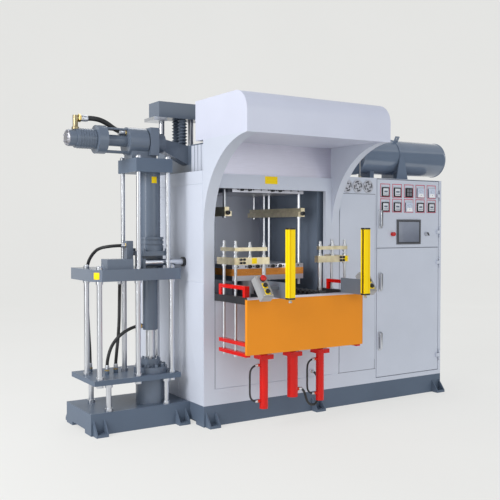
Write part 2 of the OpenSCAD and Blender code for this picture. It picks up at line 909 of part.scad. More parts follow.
// Rods of the middle rails with a nut under each rail, long rods on the right, rods of the top
// crosshead and the bright plate at its left end
module press_rods() {
    nut = 12;
    end_x = -cross_over - end_over;
    color([0.82, 0.83, 0.86]) place() {
        both_sides()
            for (y = hang_ys) {
                post(-hang_x, y, mid_rail_z - nut, crown_z, hanger_d);
                post(-hang_x, y, mid_rail_z - nut, mid_rail_z, hanger_d + 10);
            }
        at_side(1)
            for (y = concat(hang_ys[0], long_ys))
                post(-hang_x, y, rod_low, crown_z, hanger_d);
        both_sides()
            for (x = [cross_rod_in, cross_rod_in + cross_rod_pitch])
                post(x - upright_in, cross_y, crown_top, cross_z, cross_rod_d);
        box([end_x, cross_y - cross_w / 2, cross_z - end_plate_t],
            [end_x + end_plate_l, cross_y + cross_w / 2, cross_z]);
        post(-cross_over / 2, cross_y, cross_z - end_rod_l, cross_z, cross_rod_d);
    }
}

// Clamping cylinder under the platen
module clamp_cylinder() {
    color([0.30, 0.34, 0.40]) place()
        translate([press_c, plate_mid_y, 0])
            difference() {
                post(0, 0, base_h, clamp_top, clamp_d);
                post(0, 0, base_h + 40, clamp_top + eps, ram_d + 2 * rod_play);
            }
}

// Moving platen with its ram
module moving_platen() {
    color([0.62, 0.63, 0.70]) place() {
        press_plate(platen_z, platen_t);
        post(press_c, plate_mid_y, base_h + 45, platen_z + eps, ram_d);
    }
}

module lower_insulation() {
    color([0.84, 0.53, 0.16]) place()
        press_plate(ins_z, lower_ins_t);
}

module lower_hot_plate() {
    color([0.75, 0.76, 0.80]) place()
        heated_plate(hot_z, lower_plate_t);
}

// Beam on rods over the press, reaching out over the injection unit, with bellows on the left
module top_crosshead() {
    color([0.22, 0.25, 0.30]) place() {
        box([-cross_over, cross_y - cross_w / 2, cross_z],
            [press_w - sheet, cross_y + cross_w / 2, cross_z + cross_h]);
        for (y = [cross_y - cross_w * 0.27, cross_y + cross_w * 0.27])
            translate([press_c - upright_in - upright_t / 2, y, 0]) bellows();
    }
}

// Bellows between a press upright and the beam: a row of folds turned round Z
module bellows() {
    folds = 9;
    step = (cross_z - crown_top) / folds;
    rotate_extrude()
        polygon(concat(
            [[0, crown_top]],
            [for (i = [0 : folds - 1]) each [
                [upright_t * 0.30, crown_top + i * step], [upright_t * 0.48, crown_top + (i + 0.5) * step]
            ]],
            [[upright_t * 0.30, cross_z], [0, cross_z]]
        ));
}

// Table: side rails, front bar and the plate that carries the lift cylinders
module table_frame() {
    bar_t = 20;
    color([0.12, 0.12, 0.13]) place()
        difference() {
            union() {
                both_sides() {
                    box([-rail_c - rail_w / 2, -table_reach, table_z],
                        [-rail_c + rail_w / 2, upright_y, rail_top]);
                    box([-track_dx - track_w / 2, -table_reach + eps, table_z],
                        [-track_dx + track_w / 2, 0, rail_top - roller_d / 2]);
                }
                at_side(0) {
                    box([-rail_c, -table_reach, table_z], [rail_c, -table_reach + front_bar_d, rail_top]);
                    box([-rail_c, -lift_y - lift_flange_w / 2, table_z],
                        [rail_c, -lift_y + lift_flange_w / 2, table_z + bar_t]);
                }
            }
            both_sides() {
                for (y = [-lift_y, -guide_rear_y])
                    post(-rail_c, y, table_z - eps, rail_top + eps, guide_d + 2 * rod_play);
                post(-lift_dx, -lift_y, table_z - eps, table_z + bar_t + eps, lift_rod_d + 2 * rod_play);
            }
        }
}

// Two tracks of table rollers, lying in the tracks' top
module table_rollers() {
    first = -table_reach + front_bar_d + roller_pitch / 2;
    count = floor((table_reach - front_bar_d) / roller_pitch);
    color([0.20, 0.20, 0.22]) place()
        both_sides()
            for (i = [0 : count - 1])
                bar_x(-track_dx - track_w / 2, track_w, first + i * roller_pitch,
                    rail_top + seat_play, roller_d);
}

// Orange front sheet of the table
module front_skirt() {
    left = press_c - rail_c - rail_w / 2;
    color([0.84, 0.53, 0.16]) place()
        box([left, -table_reach - sheet, skirt_z],
            [2 * press_c - left, -table_reach, skirt_z + skirt_h]);
}

// Side arms on the table's front bar, with the tubes of the control boxes
module table_arms() {
    tube_y = -box_y;
    color([0.55, 0.57, 0.60]) place()
        both_sides() {
            box([-arm_dx - arm_t / 2, -arm_reach, rail_top],
                [-arm_dx + arm_t / 2, -table_reach + front_bar_d, rail_top + arm_h]);
            bar_x(-box_dx + box_w / 2, box_dx - box_w / 2 - arm_dx - arm_t / 2 + eps,
                tube_y, box_z, box_tube_d);
        }
}

// Section of a light curtain: a box with a lens slot inside and a groove on the other faces
module curtain_outline() {
    groove = 5;
    difference() {
        translate([-curtain_w / 2, -curtain_d]) square([curtain_w, curtain_d]);
        translate([curtain_w / 2 - groove, -curtain_d * 0.7]) square([groove + eps, curtain_d * 0.4]);
        translate([-curtain_w / 2 - eps, -curtain_d * 0.62]) square([groove + eps, groove]);
        translate([-curtain_w * 0.32, -curtain_d - eps]) square([groove, groove + eps]);
    }
}

// Light curtains on the arms' ends, with a cable gland below each
module light_curtains() {
    lift = 4;
    gland = 24;
    color([0.98, 0.86, 0.05]) place()
        both_sides()
            translate([-arm_dx, -arm_reach, rail_top + lift]) {
                linear_extrude(curtain_h) curtain_outline();
                translate([0, -curtain_d / 2, -gland]) cylinder(d = 18, h = gland + eps);
            }
}

// Puts children in a control box's own frame: x across, y into the box, z along it
module at_box() {
    translate([-box_dx, -box_y, box_z]) rotate([-box_tilt, 0, 0]) children();
}

// Tilted two-hand control boxes with a domed lid
module control_boxes() {
    lid = 8;
    color([0.83, 0.84, 0.82]) place()
        both_sides()
            at_box() {
                box([-box_w / 2, -box_d / 2 + lid, -box_h / 2], [box_w / 2, box_d / 2, box_h / 2]);
                box([-box_w / 2 + 4, -box_d / 2, -box_h / 2 + 4],
                    [box_w / 2 - 4, -box_d / 2 + lid, box_h / 2 - 4]);
            }
}

// A push button that stands out of a control box's lid
module button(z, d, h) {
    translate([0, -box_d / 2, z]) rotate([90, 0, 0]) {
        cylinder(d = d * 0.7, h = h);
        translate([0, 0, h * 0.55]) cylinder(d = d, h = h * 0.45);
    }
}

// One mushroom head and two push buttons on each box
module control_buttons() {
    color([0.75, 0.10, 0.08]) place()
        both_sides()
            at_box() {
                button(box_h * 0.30, 42, 28);
                button(0, 30, 16);
                button(-box_h * 0.29, 30, 16);
            }
}

// One lift cylinder hung from the table, with its flange, neck and rod bore
module lift_cylinder(x, z, d, bored) {
    difference() {
        union() {
            post(x, -lift_y, z, lift_flange_z, d);
            box([x - lift_flange_w / 2, -lift_y - lift_flange_w / 2, lift_flange_z],
                [x + lift_flange_w / 2, -lift_y + lift_flange_w / 2, lift_flange_z + lift_flange_t]);
            post(x, -lift_y, lift_flange_z, table_z, lift_neck_d);
            if (bored) {
                bar_x(x - port_reach, port_reach, -lift_y, high_port, port_d);
                bar_x(x - port_reach, port_reach, -lift_y, low_port, port_d);
            } else {
                bar_x(x, port_reach, -lift_y, mid_port, port_d + 4);
            }
        }
        if (bored)
            post(x, -lift_y, z + 20, table_z + eps, lift_rod_d + 2 * rod_play);
    }
}

module lift_cylinders() {
    color([0.84, 0.17, 0.13]) place()
        translate([press_c, 0, 0]) {
            lift_cylinder(-lift_dx, lift_cyl_z, lift_cyl_d, true);
            lift_cylinder(0, mid_cyl_z, mid_cyl_d, false);
            lift_cylinder(lift_dx, lift_cyl_z, lift_cyl_d, true);
        }
}

// Red brackets on the side rails that guide the lift rods
module lift_guides() {
    leg = 30;
    front = -table_reach + front_bar_d + 10;
    rear = -guide_rear_y + 45;
    color([0.84, 0.17, 0.13]) place()
        both_sides()
            difference() {
                union() {
                    for (y = [front, rear - leg])
                        box([-rail_c - tie_w / 2, y, rail_top],
                            [-rail_c + tie_w / 2, y + leg, rail_top + bracket_h]);
                    box([-rail_c - tie_w / 2, front, rail_top + bracket_h - tie_h],
                        [-rail_c + tie_w / 2, rear, rail_top + bracket_h]);
                }
                for (y = [-lift_y, -guide_rear_y])
                    post(-rail_c, y, rail_top - eps, rail_top + bracket_h + eps, guide_d + 2 * rod_play);
            }
}

// Lift bars of one side: a bar to the rear and a bar to the inside, in two levels
module lift_level(z, h, t, inner, rear) {
    box([-rail_c - t / 2, -lift_y - t / 2, z], [-rail_c + t / 2, -rear, z + h]);
    box([-rail_c - t / 2, -lift_y - t / 2, z], [-inner, -lift_y + t / 2, z + h]);
}

module lift_bars() {
    difference() {
        union() {
            lift_level(lift_bar_z, lift_bar_h, lift_bar_t, lift_dx - 35, 40);
            lift_level(top_bar_z, top_bar_h, top_bar_t, lift_dx - 20, 80);
        }
        for (y = [-lift_y, -guide_rear_y])
            post(-rail_c, y, lift_bar_z - eps, stud_top, guide_d + 2 * seat_play);
        for (x = [-lift_dx, -lift_dx - stud_pitch])
            post(x, -lift_y, lift_bar_z + lift_bar_h / 2, stud_top, guide_d + 2 * seat_play);
    }
}

// Guide rods, cylinder rod, studs and their collars
module lift_rods() {
    collar = 14;
    for (y = [-lift_y, -guide_rear_y]) {
        post(-rail_c, y, tie_low_z - collar, stud_top, guide_d);
        post(-rail_c, y, tie_low_z - collar, tie_low_z, guide_d + 12);
        post(-rail_c, y, lift_bar_z - collar, lift_bar_z, guide_d + 12);
        post(-rail_c, y, lift_bar_z + lift_bar_h, lift_bar_z + lift_bar_h + collar, guide_d + 12);
        post(-rail_c, y, top_bar_z - collar, top_bar_z, guide_d + 12);
        post(-rail_c, y, top_bar_z + top_bar_h, top_bar_z + top_bar_h + collar, guide_d + 10);
    }
    post(-lift_dx, -lift_y, lift_cyl_z + 60, lift_bar_z, lift_rod_d);
    for (x = [-lift_dx, -lift_dx - stud_pitch]) {
        post(x, -lift_y, lift_bar_z + lift_bar_h / 2, stud_top - 10, guide_d);
        post(x, -lift_y, lift_bar_z + lift_bar_h, lift_bar_z + lift_bar_h + collar, guide_d + 12);
        post(x, -lift_y, top_bar_z + top_bar_h, top_bar_z + top_bar_h + collar, guide_d + 10);
    }
}

// Red ties between the lower ends of the guide rods
module lift_ties() {
    for (z = [tie_low_z, tie_high_z])
        difference() {
            box([-rail_c - tie_w / 2, -table_reach + 20, z], [-rail_c + tie_w / 2, -60, z + tie_h]);
            for (y = [-lift_y, -guide_rear_y])
                post(-rail_c, y, z - eps, z + tie_h + eps, guide_d + 2 * seat_play);
        }
}

module left_lift_bars() {
    color([0.72, 0.66, 0.48]) place() at_side(0) lift_bars();
}

module left_lift_rods() {
    color([0.82, 0.83, 0.86]) place() at_side(0) lift_rods();
}

module left_lift_ties() {
    color([0.84, 0.17, 0.13]) place() at_side(0) lift_ties();
}

module right_lift_bars() {
    color([0.72, 0.66, 0.48]) place() at_side(1) lift_bars();
}

module right_lift_rods() {
    color([0.82, 0.83, 0.86]) place() at_side(1) lift_rods();
}

module right_lift_ties() {
    color([0.84, 0.17, 0.13]) place() at_side(1) lift_ties();
}

// Closed housing of the fan bay, with its cover, and of what lies behind the cabinet
module service_housing() {
    side = 16;
    color([0.78, 0.79, 0.84]) place() {
        box([press_w, 0, base_h], [cab_x, main_depth, body_top]);
        box([cab_x - eps, cab_depth, base_h], [main_len, main_depth, body_top]);
        box([press_w + side, -sheet, cover_z], [cab_x - side, eps, cover_top]);
    }
}

// A punched fan grille: a disc with two rings of curved slots
module fan_grille() {
    depth = 5;
    slot_w = fan_d * 0.12;
    sweep = 58;
    rotate([90, 0, 0])
        difference() {
            cylinder(d = fan_d, h = depth);
            for (share = [0.22, 0.38], turn = [0 : 90 : 270])
                translate([0, 0, -eps])
                    rotate([0, 0, turn + share * 200])
                        rotate_extrude(angle = sweep)
                            translate([fan_d * share - slot_w / 2, 0])
                                square([slot_w, depth + 2 * eps]);
        }
}

module fan_grilles() {
    pitch = 112;
    color([0.35, 0.36, 0.38]) place()
        for (i = [-1, 0, 1])
            translate([press_w + bay_w / 2 + i * pitch, 0, fan_z]) fan_grille();
}

// Hinge levels of a door between two heights
function hinge_levels(low, high) = [low + 90, high - 90 - hinge_h];

// Fixed lugs and pin of one hinge; the door's knuckle sits between the lugs
module hinge_fixed(z) {
    part = hinge_h / 3;
    post(hinge_x, hinge_y, z, z + hinge_h, pin_d);
    for (low = [z, z + 2 * part]) {
        post(hinge_x, hinge_y, low, low + part, knuckle_d);
        box([hinge_x - knuckle_d / 2, hinge_y, low], [hinge_x + knuckle_d / 2, eps, low + part]);
    }
}

// The door's knuckle with its leaf
module hinge_moving(z) {
    part = hinge_h / 3;
    low = z + part + seat_play;
    high = z + 2 * part - seat_play;
    leaf = 26;
    difference() {
        union() {
            post(hinge_x, hinge_y, low, high, knuckle_d);
            box([door_right - leaf, hinge_y - knuckle_d / 2, low], [hinge_x, hinge_y, high]);
            box([door_right - leaf, hinge_y - eps, low], [door_right, eps, high]);
        }
        post(hinge_x, hinge_y, low - eps, high + eps, pin_d + 2 * rod_play);
    }
}

// Cabinet shell with a return behind the doors and a rail between them
module cabinet_shell() {
    low = base_h + door_foot;
    front = door_t + seam;
    color([0.78, 0.79, 0.84]) place() {
        difference() {
            box([cab_x, 0, base_h], [main_len, cab_depth, body_top]);
            box([cab_x + sheet, front + sheet, base_h + sheet],
                [main_len - sheet, cab_depth - sheet, body_top - sheet]);
            for (z = [[low, door_split], [door_split, body_top - sheet]])
                box([door_x - door_gap, -eps, z[0]], [door_right + door_gap, front, z[1] + eps]);
            for (z = [[low + door_stop, door_split - door_stop],
                      [door_split + door_stop, body_top - sheet - door_stop]])
                box([door_x - door_gap + door_stop, front - eps, z[0]],
                    [door_right - door_stop, front + sheet + eps, z[1]]);
        }
        for (z = concat(hinge_levels(low, door_split), hinge_levels(door_split, body_top)))
            hinge_fixed(z);
    }
}

// A swing handle: escutcheon and raised grip
module door_handle(x, z) {
    box([x - 15, -6, z - 75], [x + 15, eps, z + 75]);
    box([x - 9, -24, z - 60], [x + 9, -14, z + 70]);
    box([x - 9, -15, z + 40], [x + 9, 0, z + 70]);
}

// A door leaf between two heights, hollow behind, with its hinge knuckles
module door_leaf(low, high, handles) {
    skin = 6;
    difference() {
        box([door_x, 0, low], [door_right, door_t, high]);
        box([door_x + skin, skin, low + skin], [door_right - skin, door_t + eps, high - skin]);
    }
    for (z = handles) door_handle(door_x + 34, z);
}

module cabinet_door() {
    low = base_h + door_foot;
    color([0.80, 0.81, 0.86]) place() {
        door_leaf(low + door_gap, door_split - door_gap / 2, [low + handle_low, low + handle_high]);
        for (z = hinge_levels(low, door_split)) hinge_moving(z);
    }
}

module instrument_door() {
    color([0.80, 0.81, 0.86]) place() {
        door_leaf(door_split + door_gap / 2, body_top - sheet - door_gap, [door_split + handle_up]);
        for (z = hinge_levels(door_split, body_top)) hinge_moving(z);
    }
}

// Two rows of square instruments that stand a little proud of the door
module instruments() {
    proud = 10;
    pane = gauge / 2 - 8;
    mid = (door_x + door_right) / 2;
    color([0.10, 0.10, 0.11]) place()
        for (row = [0, 1], i = [-2 : 2])
            translate([mid + i * gauge_pitch, 0, gauge_z + row * gauge_row])
                difference() {
                    box([-gauge / 2, -proud, -gauge / 2], [gauge / 2, 0, gauge / 2]);
                    box([-pane, -proud - eps, -pane], [pane, -proud + 3, pane]);
                }
}

// Touch screen with its bezel, a red button and a selector beside it
module touch_screen() {
    mid = (door_x + door_right) / 2;
    proud = 8;
    rim = 16;
    color([0.80, 0.81, 0.84]) place() {
        difference() {
            box([mid - screen_w / 2, -proud, screen_z], [mid + screen_w / 2, 0, screen_z + screen_h]);
            box([mid - screen_w / 2 + rim, -proud - eps, screen_z + rim],
                [mid + screen_w / 2 - rim, -proud + 3, screen_z + screen_h - rim]);
        }
        for (x = [mid - screen_w / 2 - 50, mid + screen_w / 2 + 70])
            bar_y(-26, 26, x, screen_z + 88, 30);
    }
}

// Tank: a drum on its side with a dished right end and a flanged left end
module hydraulic_tank() {
    r = tank_d / 2;
    lip = 12;
    color([0.24, 0.26, 0.30]) place()
        translate([tank_x, tank_y, tank_z]) rotate([0, 90, 0])
            rotate_extrude($fn = 96) {
                square([r, tank_len - tank_dish]);
                square([r + lip, 26]);
                intersection() {
                    translate([0, tank_len - tank_dish]) dish_crown(r);
                    translate([0, tank_len - tank_dish - eps]) square([r, tank_dish + eps]);
                }
            }
}

// Half of a dished end: a shallow crown joined to the drum by a round knuckle
module dish_crown(r) {
    crown_r = (r * r + tank_dish * tank_dish) / (2 * tank_dish);
    translate([0, tank_dish - crown_r]) circle(r = crown_r, $fn = 160);
}

// Two saddles on the cabinet top, a strap with its clamp ears and a gusset in front of it
module tank_saddles() {
    r = tank_d / 2 + seat_play;
    band = 6;
    plate = 10;
    color([0.30, 0.33, 0.38]) place() {
        for (x = [tank_x + 150, strap_x])
            difference() {
                box([x - strap_w / 2, tank_y - tank_d * 0.25, body_top],
                    [x + strap_w / 2, tank_y + tank_d * 0.25, tank_z - tank_d * 0.40]);
                bar_x(x - strap_w, 2 * strap_w, tank_y, tank_z, 2 * r);
            }
        difference() {
            bar_x(strap_x - strap_w / 2, strap_w, tank_y, tank_z, 2 * (r + band));
            bar_x(strap_x - strap_w, 2 * strap_w, tank_y, tank_z, 2 * r);
        }
        translate([strap_x, tank_y - r, 0])
            rotate([90, 0, 0]) linear_extrude(plate)
                polygon([
                    [-gusset_w / 2, body_top], [gusset_w / 2, body_top],
                    [strap_w / 2, tank_z + band], [-strap_w / 2, tank_z + band]
                ]);
        translate([strap_x, tank_y, tank_z]) rotate([ear_turn, 0, 0])
            difference() {
                box([-strap_w / 2, -plate / 2, r + band / 2], [strap_w / 2, plate / 2, r + 52]);
                bar_y(-plate, 2 * plate, 0, r + 32, 16);
            }
    }
}

module injection_base() {
    color([0.33, 0.38, 0.44]) place() {
        base_block(-inj_len, inj_len, inj_setback, inj_depth);
        lugs([-inj_len + lug_inset, -lug_inset - 20], inj_setback, inj_setback + inj_depth);
    }
}

// Large plate of the injection unit between two heights
module unit_plate(z, t, cut) {
    right = -plate_off;
    left = plate_left;
    rear = plate_front + plate_depth;
    translate([0, 0, z]) linear_extrude(t)
        polygon([
            [left + cut, plate_front], [right, plate_front], [right, rear], [left, rear],
            [left, plate_front + cut]
        ]);
}

// Lower plate with its seat for the cylinder and the port of the barrel hose
module injection_lower_plate() {
    color([0.33, 0.38, 0.44]) place() {
        difference() {
            unit_plate(low_plate_z, low_plate_t, 0);
            post(-inj_x, inj_y, low_plate_z - eps, low_plate_top + eps, inj_cyl_d + 2 * seat_play);
        }
        for (port = [[-port_x, port_y], drain_port, ram_port])
            post(port[0], port[1], low_plate_top - eps, low_plate_top + port_h, barrel_hose_d + 10);
    }
}

// A ring of bolt heads round Z
module bolt_ring(count, r, z, d, h) {
    for (i = [0 : count - 1])
        rotate([0, 0, (i + 0.5) * 360 / count]) translate([r, 0, z]) cylinder(d = d, h = h);
}

// Injection cylinder that hangs in the lower plate by its bolted flange
module injection_cylinder() {
    flange_top = low_plate_top + inj_flange_t;
    gland_top = flange_top + gland_h;
    color([0.28, 0.31, 0.36]) place()
        translate([-inj_x, inj_y, 0])
            difference() {
                union() {
                    post(0, 0, base_h, low_plate_top, inj_cyl_d);
                    post(0, 0, low_plate_top, flange_top, inj_flange_d);
                    post(0, 0, low_plate_top, gland_top, gland_d);
                    bolt_ring(10, (inj_flange_d + gland_d) / 4, flange_top - eps, 26, 22);
                    bolt_ring(6, (gland_d + inj_rod_d) / 4, gland_top - eps, 16, 14);
                }
                post(0, 0, base_h + 12, mid_plate_z, inj_rod_d + 2 * rod_play);
            }
}

// Chrome rod between the cylinder and the ram sleeve
module injection_rod() {
    color([0.85, 0.86, 0.88]) place()
        post(-inj_x, inj_y, base_h + 16, base_h + 16 + inj_rod_len, inj_rod_d);
}

// A domed nut: a short cylinder under a crown of two tapers
module dome_nut(x, y, z, d, h) {
    translate([x, y, z]) {
        cylinder(d = d, h = h * 0.5);
        translate([0, 0, h * 0.5]) cylinder(d1 = d, d2 = d * 0.8, h = h * 0.3);
        translate([0, 0, h * 0.8]) cylinder(d1 = d * 0.8, d2 = d * 0.4, h = h * 0.2);
    }
}

// Chrome columns: levelling posts, lower columns and upper tie rods, with their nuts
module injection_columns() {
    nut = 20;
    tie_x = [top_plate_x + 26, top_plate_x + top_plate_len - 26];
    tie_y = [plate_front + 26, plate_front + top_plate_d - 26];
    color([0.84, 0.85, 0.87]) place() {
        for (x = [column_xs[2] + 60, column_xs[0] - 55], y = [column_front - 14, column_rear + 75]) {
            post(x, y, base_h, low_plate_z, column_d);
            post(x, y, low_plate_z - nut, low_plate_z, column_d + 18);
            post(x, y, base_h, base_h + nut, column_d + 18);
        }
        for (x = column_xs, y = [column_front, column_rear]) {
            post(x, y, low_plate_top, mid_plate_z, column_d);
            post(x, y, mid_plate_z - nut, mid_plate_z, column_d + 14);
            post(x, y, low_plate_top, low_plate_top + nut, column_d + 14);
            post(x, y, low_plate_z - nut, low_plate_z, column_d + 14);
            dome_nut(x, y, mid_plate_top, column_d + 6, nut + 6);
        }
        for (x = tie_x, y = tie_y) {
            post(x, y, mid_plate_top, top_plate_z, tie_rod_d);
            dome_nut(x, y, top_plate_z + top_plate_t, tie_rod_d + 10, nut + 6);
        }
    }
}

// Middle plate with the ram sleeve below, the runner block and the valve block above
module injection_mid_plate() {
    color([0.30, 0.34, 0.40]) place()
        difference() {
            union() {
                unit_plate(mid_plate_z, mid_plate_t, mid_chamfer);
                post(-inj_x, inj_y, sleeve_z, mid_plate_z + eps, sleeve_d);
                bar_x(-inj_x - sleeve_d / 2 - ram_fit, sleeve_d / 4 + ram_fit,
                    inj_y, sleeve_z + ram_fit_z, barrel_hose_d + 8);
                box([nozzle_x, runner_y, mid_plate_top - eps],
                    [nozzle_x + runner_w, inj_y + runner_w / 2, collar_z]);
                box([nozzle_x - holder_l, nozzle_y - nozzle_d / 2 - holder_t, mid_plate_top - eps],
                    [nozzle_x, runner_y + holder_l, nozzle_z + nozzle_d / 2 + holder_t]);
                translate([plate_left + block_in, plate_front + 30, mid_plate_top - eps])
                    cube([block_l, block_d, block_h + eps]);
                translate([valve_x, valve_y - valve_d / 2, mid_plate_top - eps])
                    cube([valve_w, valve_d, valve_h + eps]);
            }
            post(-inj_x, inj_y, sleeve_z - eps, mid_plate_z - 6, inj_rod_d + 2 * rod_play);
        }
}

// Nozzle that runs in front of the runner block and through the wall to the press
module injection_nozzle() {
    color([0.85, 0.86, 0.88]) place() {
        bar_x(nozzle_x, press_c - upright_in - nozzle_x, nozzle_y, nozzle_z, nozzle_d);
        bar_x(nozzle_x, 16, nozzle_y, nozzle_z, nozzle_d + 8);
    }
}

// Injection barrel with its grooved collar on a square flange
module injection_barrel() {
    grooves = [0.55, 0.80];
    color([0.32, 0.35, 0.40]) place()
        translate([-inj_x, inj_y, 0])
            difference() {
                union() {
                    translate([-flange_w / 2, -flange_w / 2, collar_z])
                        cube([flange_w, flange_w, flange_t]);
                    post(0, 0, collar_z, collar_z + collar_h, collar_d);
                    post(0, 0, collar_z, top_plate_z, barrel_d);
                    bolt_ring(4, flange_w * 0.6, collar_z + flange_t - eps, 24, 20);
                }
                for (g = grooves)
                    translate([0, 0, collar_z + collar_h * g])
                        rotate_extrude() translate([collar_d / 2 - 6, 0]) square([8, 12]);
            }
}

module injection_top_plate() {
    color([0.33, 0.38, 0.44]) place()
        box([top_plate_x, plate_front, top_plate_z],
            [top_plate_x + top_plate_len, plate_front + top_plate_d, top_plate_z + top_plate_t]);
}

// Plasticiser: saddle, thick barrel, clamp block, support arm, coupling tube and motor flange
module plasticiser() {
    saddle = plast_d * 0.7;
    color([0.26, 0.28, 0.32]) place() {
        box([plast_x0 + 20, inj_y - saddle / 2, top_plate_z + top_plate_t],
            [plast_x0 + plast_len + clamp_len, inj_y + saddle / 2, plast_z - plast_d * 0.3]);
        bar_x(plast_x0, plast_len, inj_y, plast_z, plast_d);
        translate([plast_x0 + plast_len + 8, inj_y - plast_d / 2, plast_z - plast_d / 2])
            cube([clamp_len, plast_d, plast_d]);
        bar_x(plast_x0 + plast_len - eps, neck_len + eps, inj_y, plast_z, neck_d);
        support_arm();
        bar_x(plast_x0 - coupling_len, coupling_len + eps, inj_y, plast_z, coupling_d);
        bar_x(flange_x, motor_flange, inj_y, plast_z, plast_d);
        for (y = [-30, 30], z = [-82, 82])
            bar_x(plast_x0 - coupling_len - eps, coupling_len + 2 * eps, inj_y + y, plast_z + z, stud_d);
    }
}

// Tapered arm from the plasticiser over the wall to the press upright
module support_arm() {
    left = plast_x0 + plast_len + neck_len - eps;
    right = press_c - upright_in - upright_t;
    translate([0, inj_y + arm_depth / 2, 0]) rotate([90, 0, 0]) linear_extrude(arm_depth)
        polygon([
            [left, plast_z - neck_d * 0.42], [right, body_top + 60],
            [right, crown_top - 6], [left, plast_z + neck_d * 0.2]
        ]);
}

// Drive motor with its port elbow
module drive_motor() {
    color([0.16, 0.17, 0.19]) place() {
        bar_x(motor_x, motor_len * 0.3, inj_y, plast_z, motor_d * 0.86);
        bar_x(motor_x + motor_len * 0.25, motor_len * 0.75, inj_y, plast_z, motor_d);
        post(elbow_x, inj_y, plast_z + motor_d / 2 - 20, elbow_z + motor_hose_d / 2, motor_hose_d);
        bar_x(elbow_x, elbow_reach, inj_y, elbow_z, motor_hose_d);
    }
}

module motor_hose() {
    color(rubber) place() hose(motor_route, motor_hose_d, [0, 1, 0]);
}

module barrel_hose() {
    color(rubber) place() hose(barrel_route, barrel_hose_d, [1, 1, 0]);
}

module drain_hose() {
    color(rubber) place() hose(drain_route, barrel_hose_d, [0, 1, 0]);
}

module ram_hose() {
    color(rubber) place() hose(ram_route, barrel_hose_d, [0, 1, 0]);
}

module cross_hose() {
    color(rubber) place() hose(cross_route, cross_hose_d, [1, -1, 0.2]);
}

// A lift hose beside its cylinder, from the upper port to the lower one
module lift_hose(x) {
    translate([x, -lift_y, 0]) hose(lift_route, lift_hose_d, [0, 1, 0], 8);
}

module left_lift_hose() {
    color(rubber) place() lift_hose(press_c - lift_dx);
}

module right_lift_hose() {
    color(rubber) place() lift_hose(press_c + lift_dx);
}

main_base();
left_arch_panel();
right_arch_panel();
front_frame();
header_panel();
rear_panel();
hood();
press_uprights();
crown();
upper_insulation();
upper_hot_plate();
middle_rails();
press_rods();
clamp_cylinder();
moving_platen();
lower_insulation();
lower_hot_plate();
top_crosshead();
table_frame();
table_rollers();
front_skirt();
table_arms();
light_curtains();
control_boxes();
control_buttons();
lift_cylinders();
lift_guides();
left_lift_bars();
left_lift_rods();
left_lift_ties();
right_lift_bars();
right_lift_rods();
right_lift_ties();
service_housing();
fan_grilles();
cabinet_shell();
cabinet_door();
instrument_door();
instruments();
touch_screen();
hydraulic_tank();
tank_saddles();
injection_base();
injection_lower_plate();
injection_cylinder();
injection_rod();
injection_columns();
injection_mid_plate();
injection_nozzle();
injection_barrel();
injection_top_plate();
plasticiser();
drive_motor();
motor_hose();
barrel_hose();
drain_hose();
ram_hose();
left_lift_hose();
right_lift_hose();
cross_hose();
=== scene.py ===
"""Looks of the injection moulding machine: finishes, hoses and small fittings on its frame.

Everything is in metres in the frame's own axes: +X right along the front, +Y to the rear, +Z up.
Places are read from the boxes of the frame's nodes.
"""

import json
import math

import bpy
import numpy as np
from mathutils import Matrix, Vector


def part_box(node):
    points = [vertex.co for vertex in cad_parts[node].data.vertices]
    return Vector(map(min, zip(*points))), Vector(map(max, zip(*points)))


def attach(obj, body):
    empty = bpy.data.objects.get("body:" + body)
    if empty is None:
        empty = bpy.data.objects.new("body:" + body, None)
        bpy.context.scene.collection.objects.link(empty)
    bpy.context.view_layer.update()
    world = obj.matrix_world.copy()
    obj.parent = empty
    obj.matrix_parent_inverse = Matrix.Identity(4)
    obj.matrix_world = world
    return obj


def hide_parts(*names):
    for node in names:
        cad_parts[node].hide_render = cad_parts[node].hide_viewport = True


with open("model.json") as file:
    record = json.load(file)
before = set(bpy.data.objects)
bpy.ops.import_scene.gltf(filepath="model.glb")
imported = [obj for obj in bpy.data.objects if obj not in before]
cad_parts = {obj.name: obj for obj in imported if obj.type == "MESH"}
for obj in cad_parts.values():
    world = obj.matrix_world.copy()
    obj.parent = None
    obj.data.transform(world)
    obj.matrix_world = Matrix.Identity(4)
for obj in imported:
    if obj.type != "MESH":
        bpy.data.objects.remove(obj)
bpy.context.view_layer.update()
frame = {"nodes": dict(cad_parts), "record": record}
BOX = {name: np.array(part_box(name), float) for name in frame["nodes"]}

# The frame's origin, counted from the left wall, the cabinet front and the floor
ORIGIN = np.array([0.8535, 0.260, 0.0])

# Middle of the injection unit, counted from the cabinet front
INJECTION_Y = 0.375

# Faces that meet at a sharper angle than this keep a hard edge
HARD_EDGE = math.radians(38)

# Camera, found from the photograph's vanishing points
EYE = (-3.5905, -5.165, 1.46)
EYE_TURN = 32.6
EYE_DROP = 1.63
LENS = 55.6
SENSOR = 36.0


def spot(x, y, z):
    """A place counted from the left wall, the cabinet front and the floor, in the frame's axes."""
    return np.stack(np.broadcast_arrays(x, y, z), axis=-1).astype(float) - ORIGIN


def srgb(red, green, blue):
    """A colour given as 0 to 255 on screen, as linear light with alpha."""
    screen = np.array([red, green, blue]) / 255.0
    light = np.where(screen <= 0.04045, screen / 12.92, ((screen + 0.055) / 1.055) ** 2.4)
    return (*light.tolist(), 1.0)


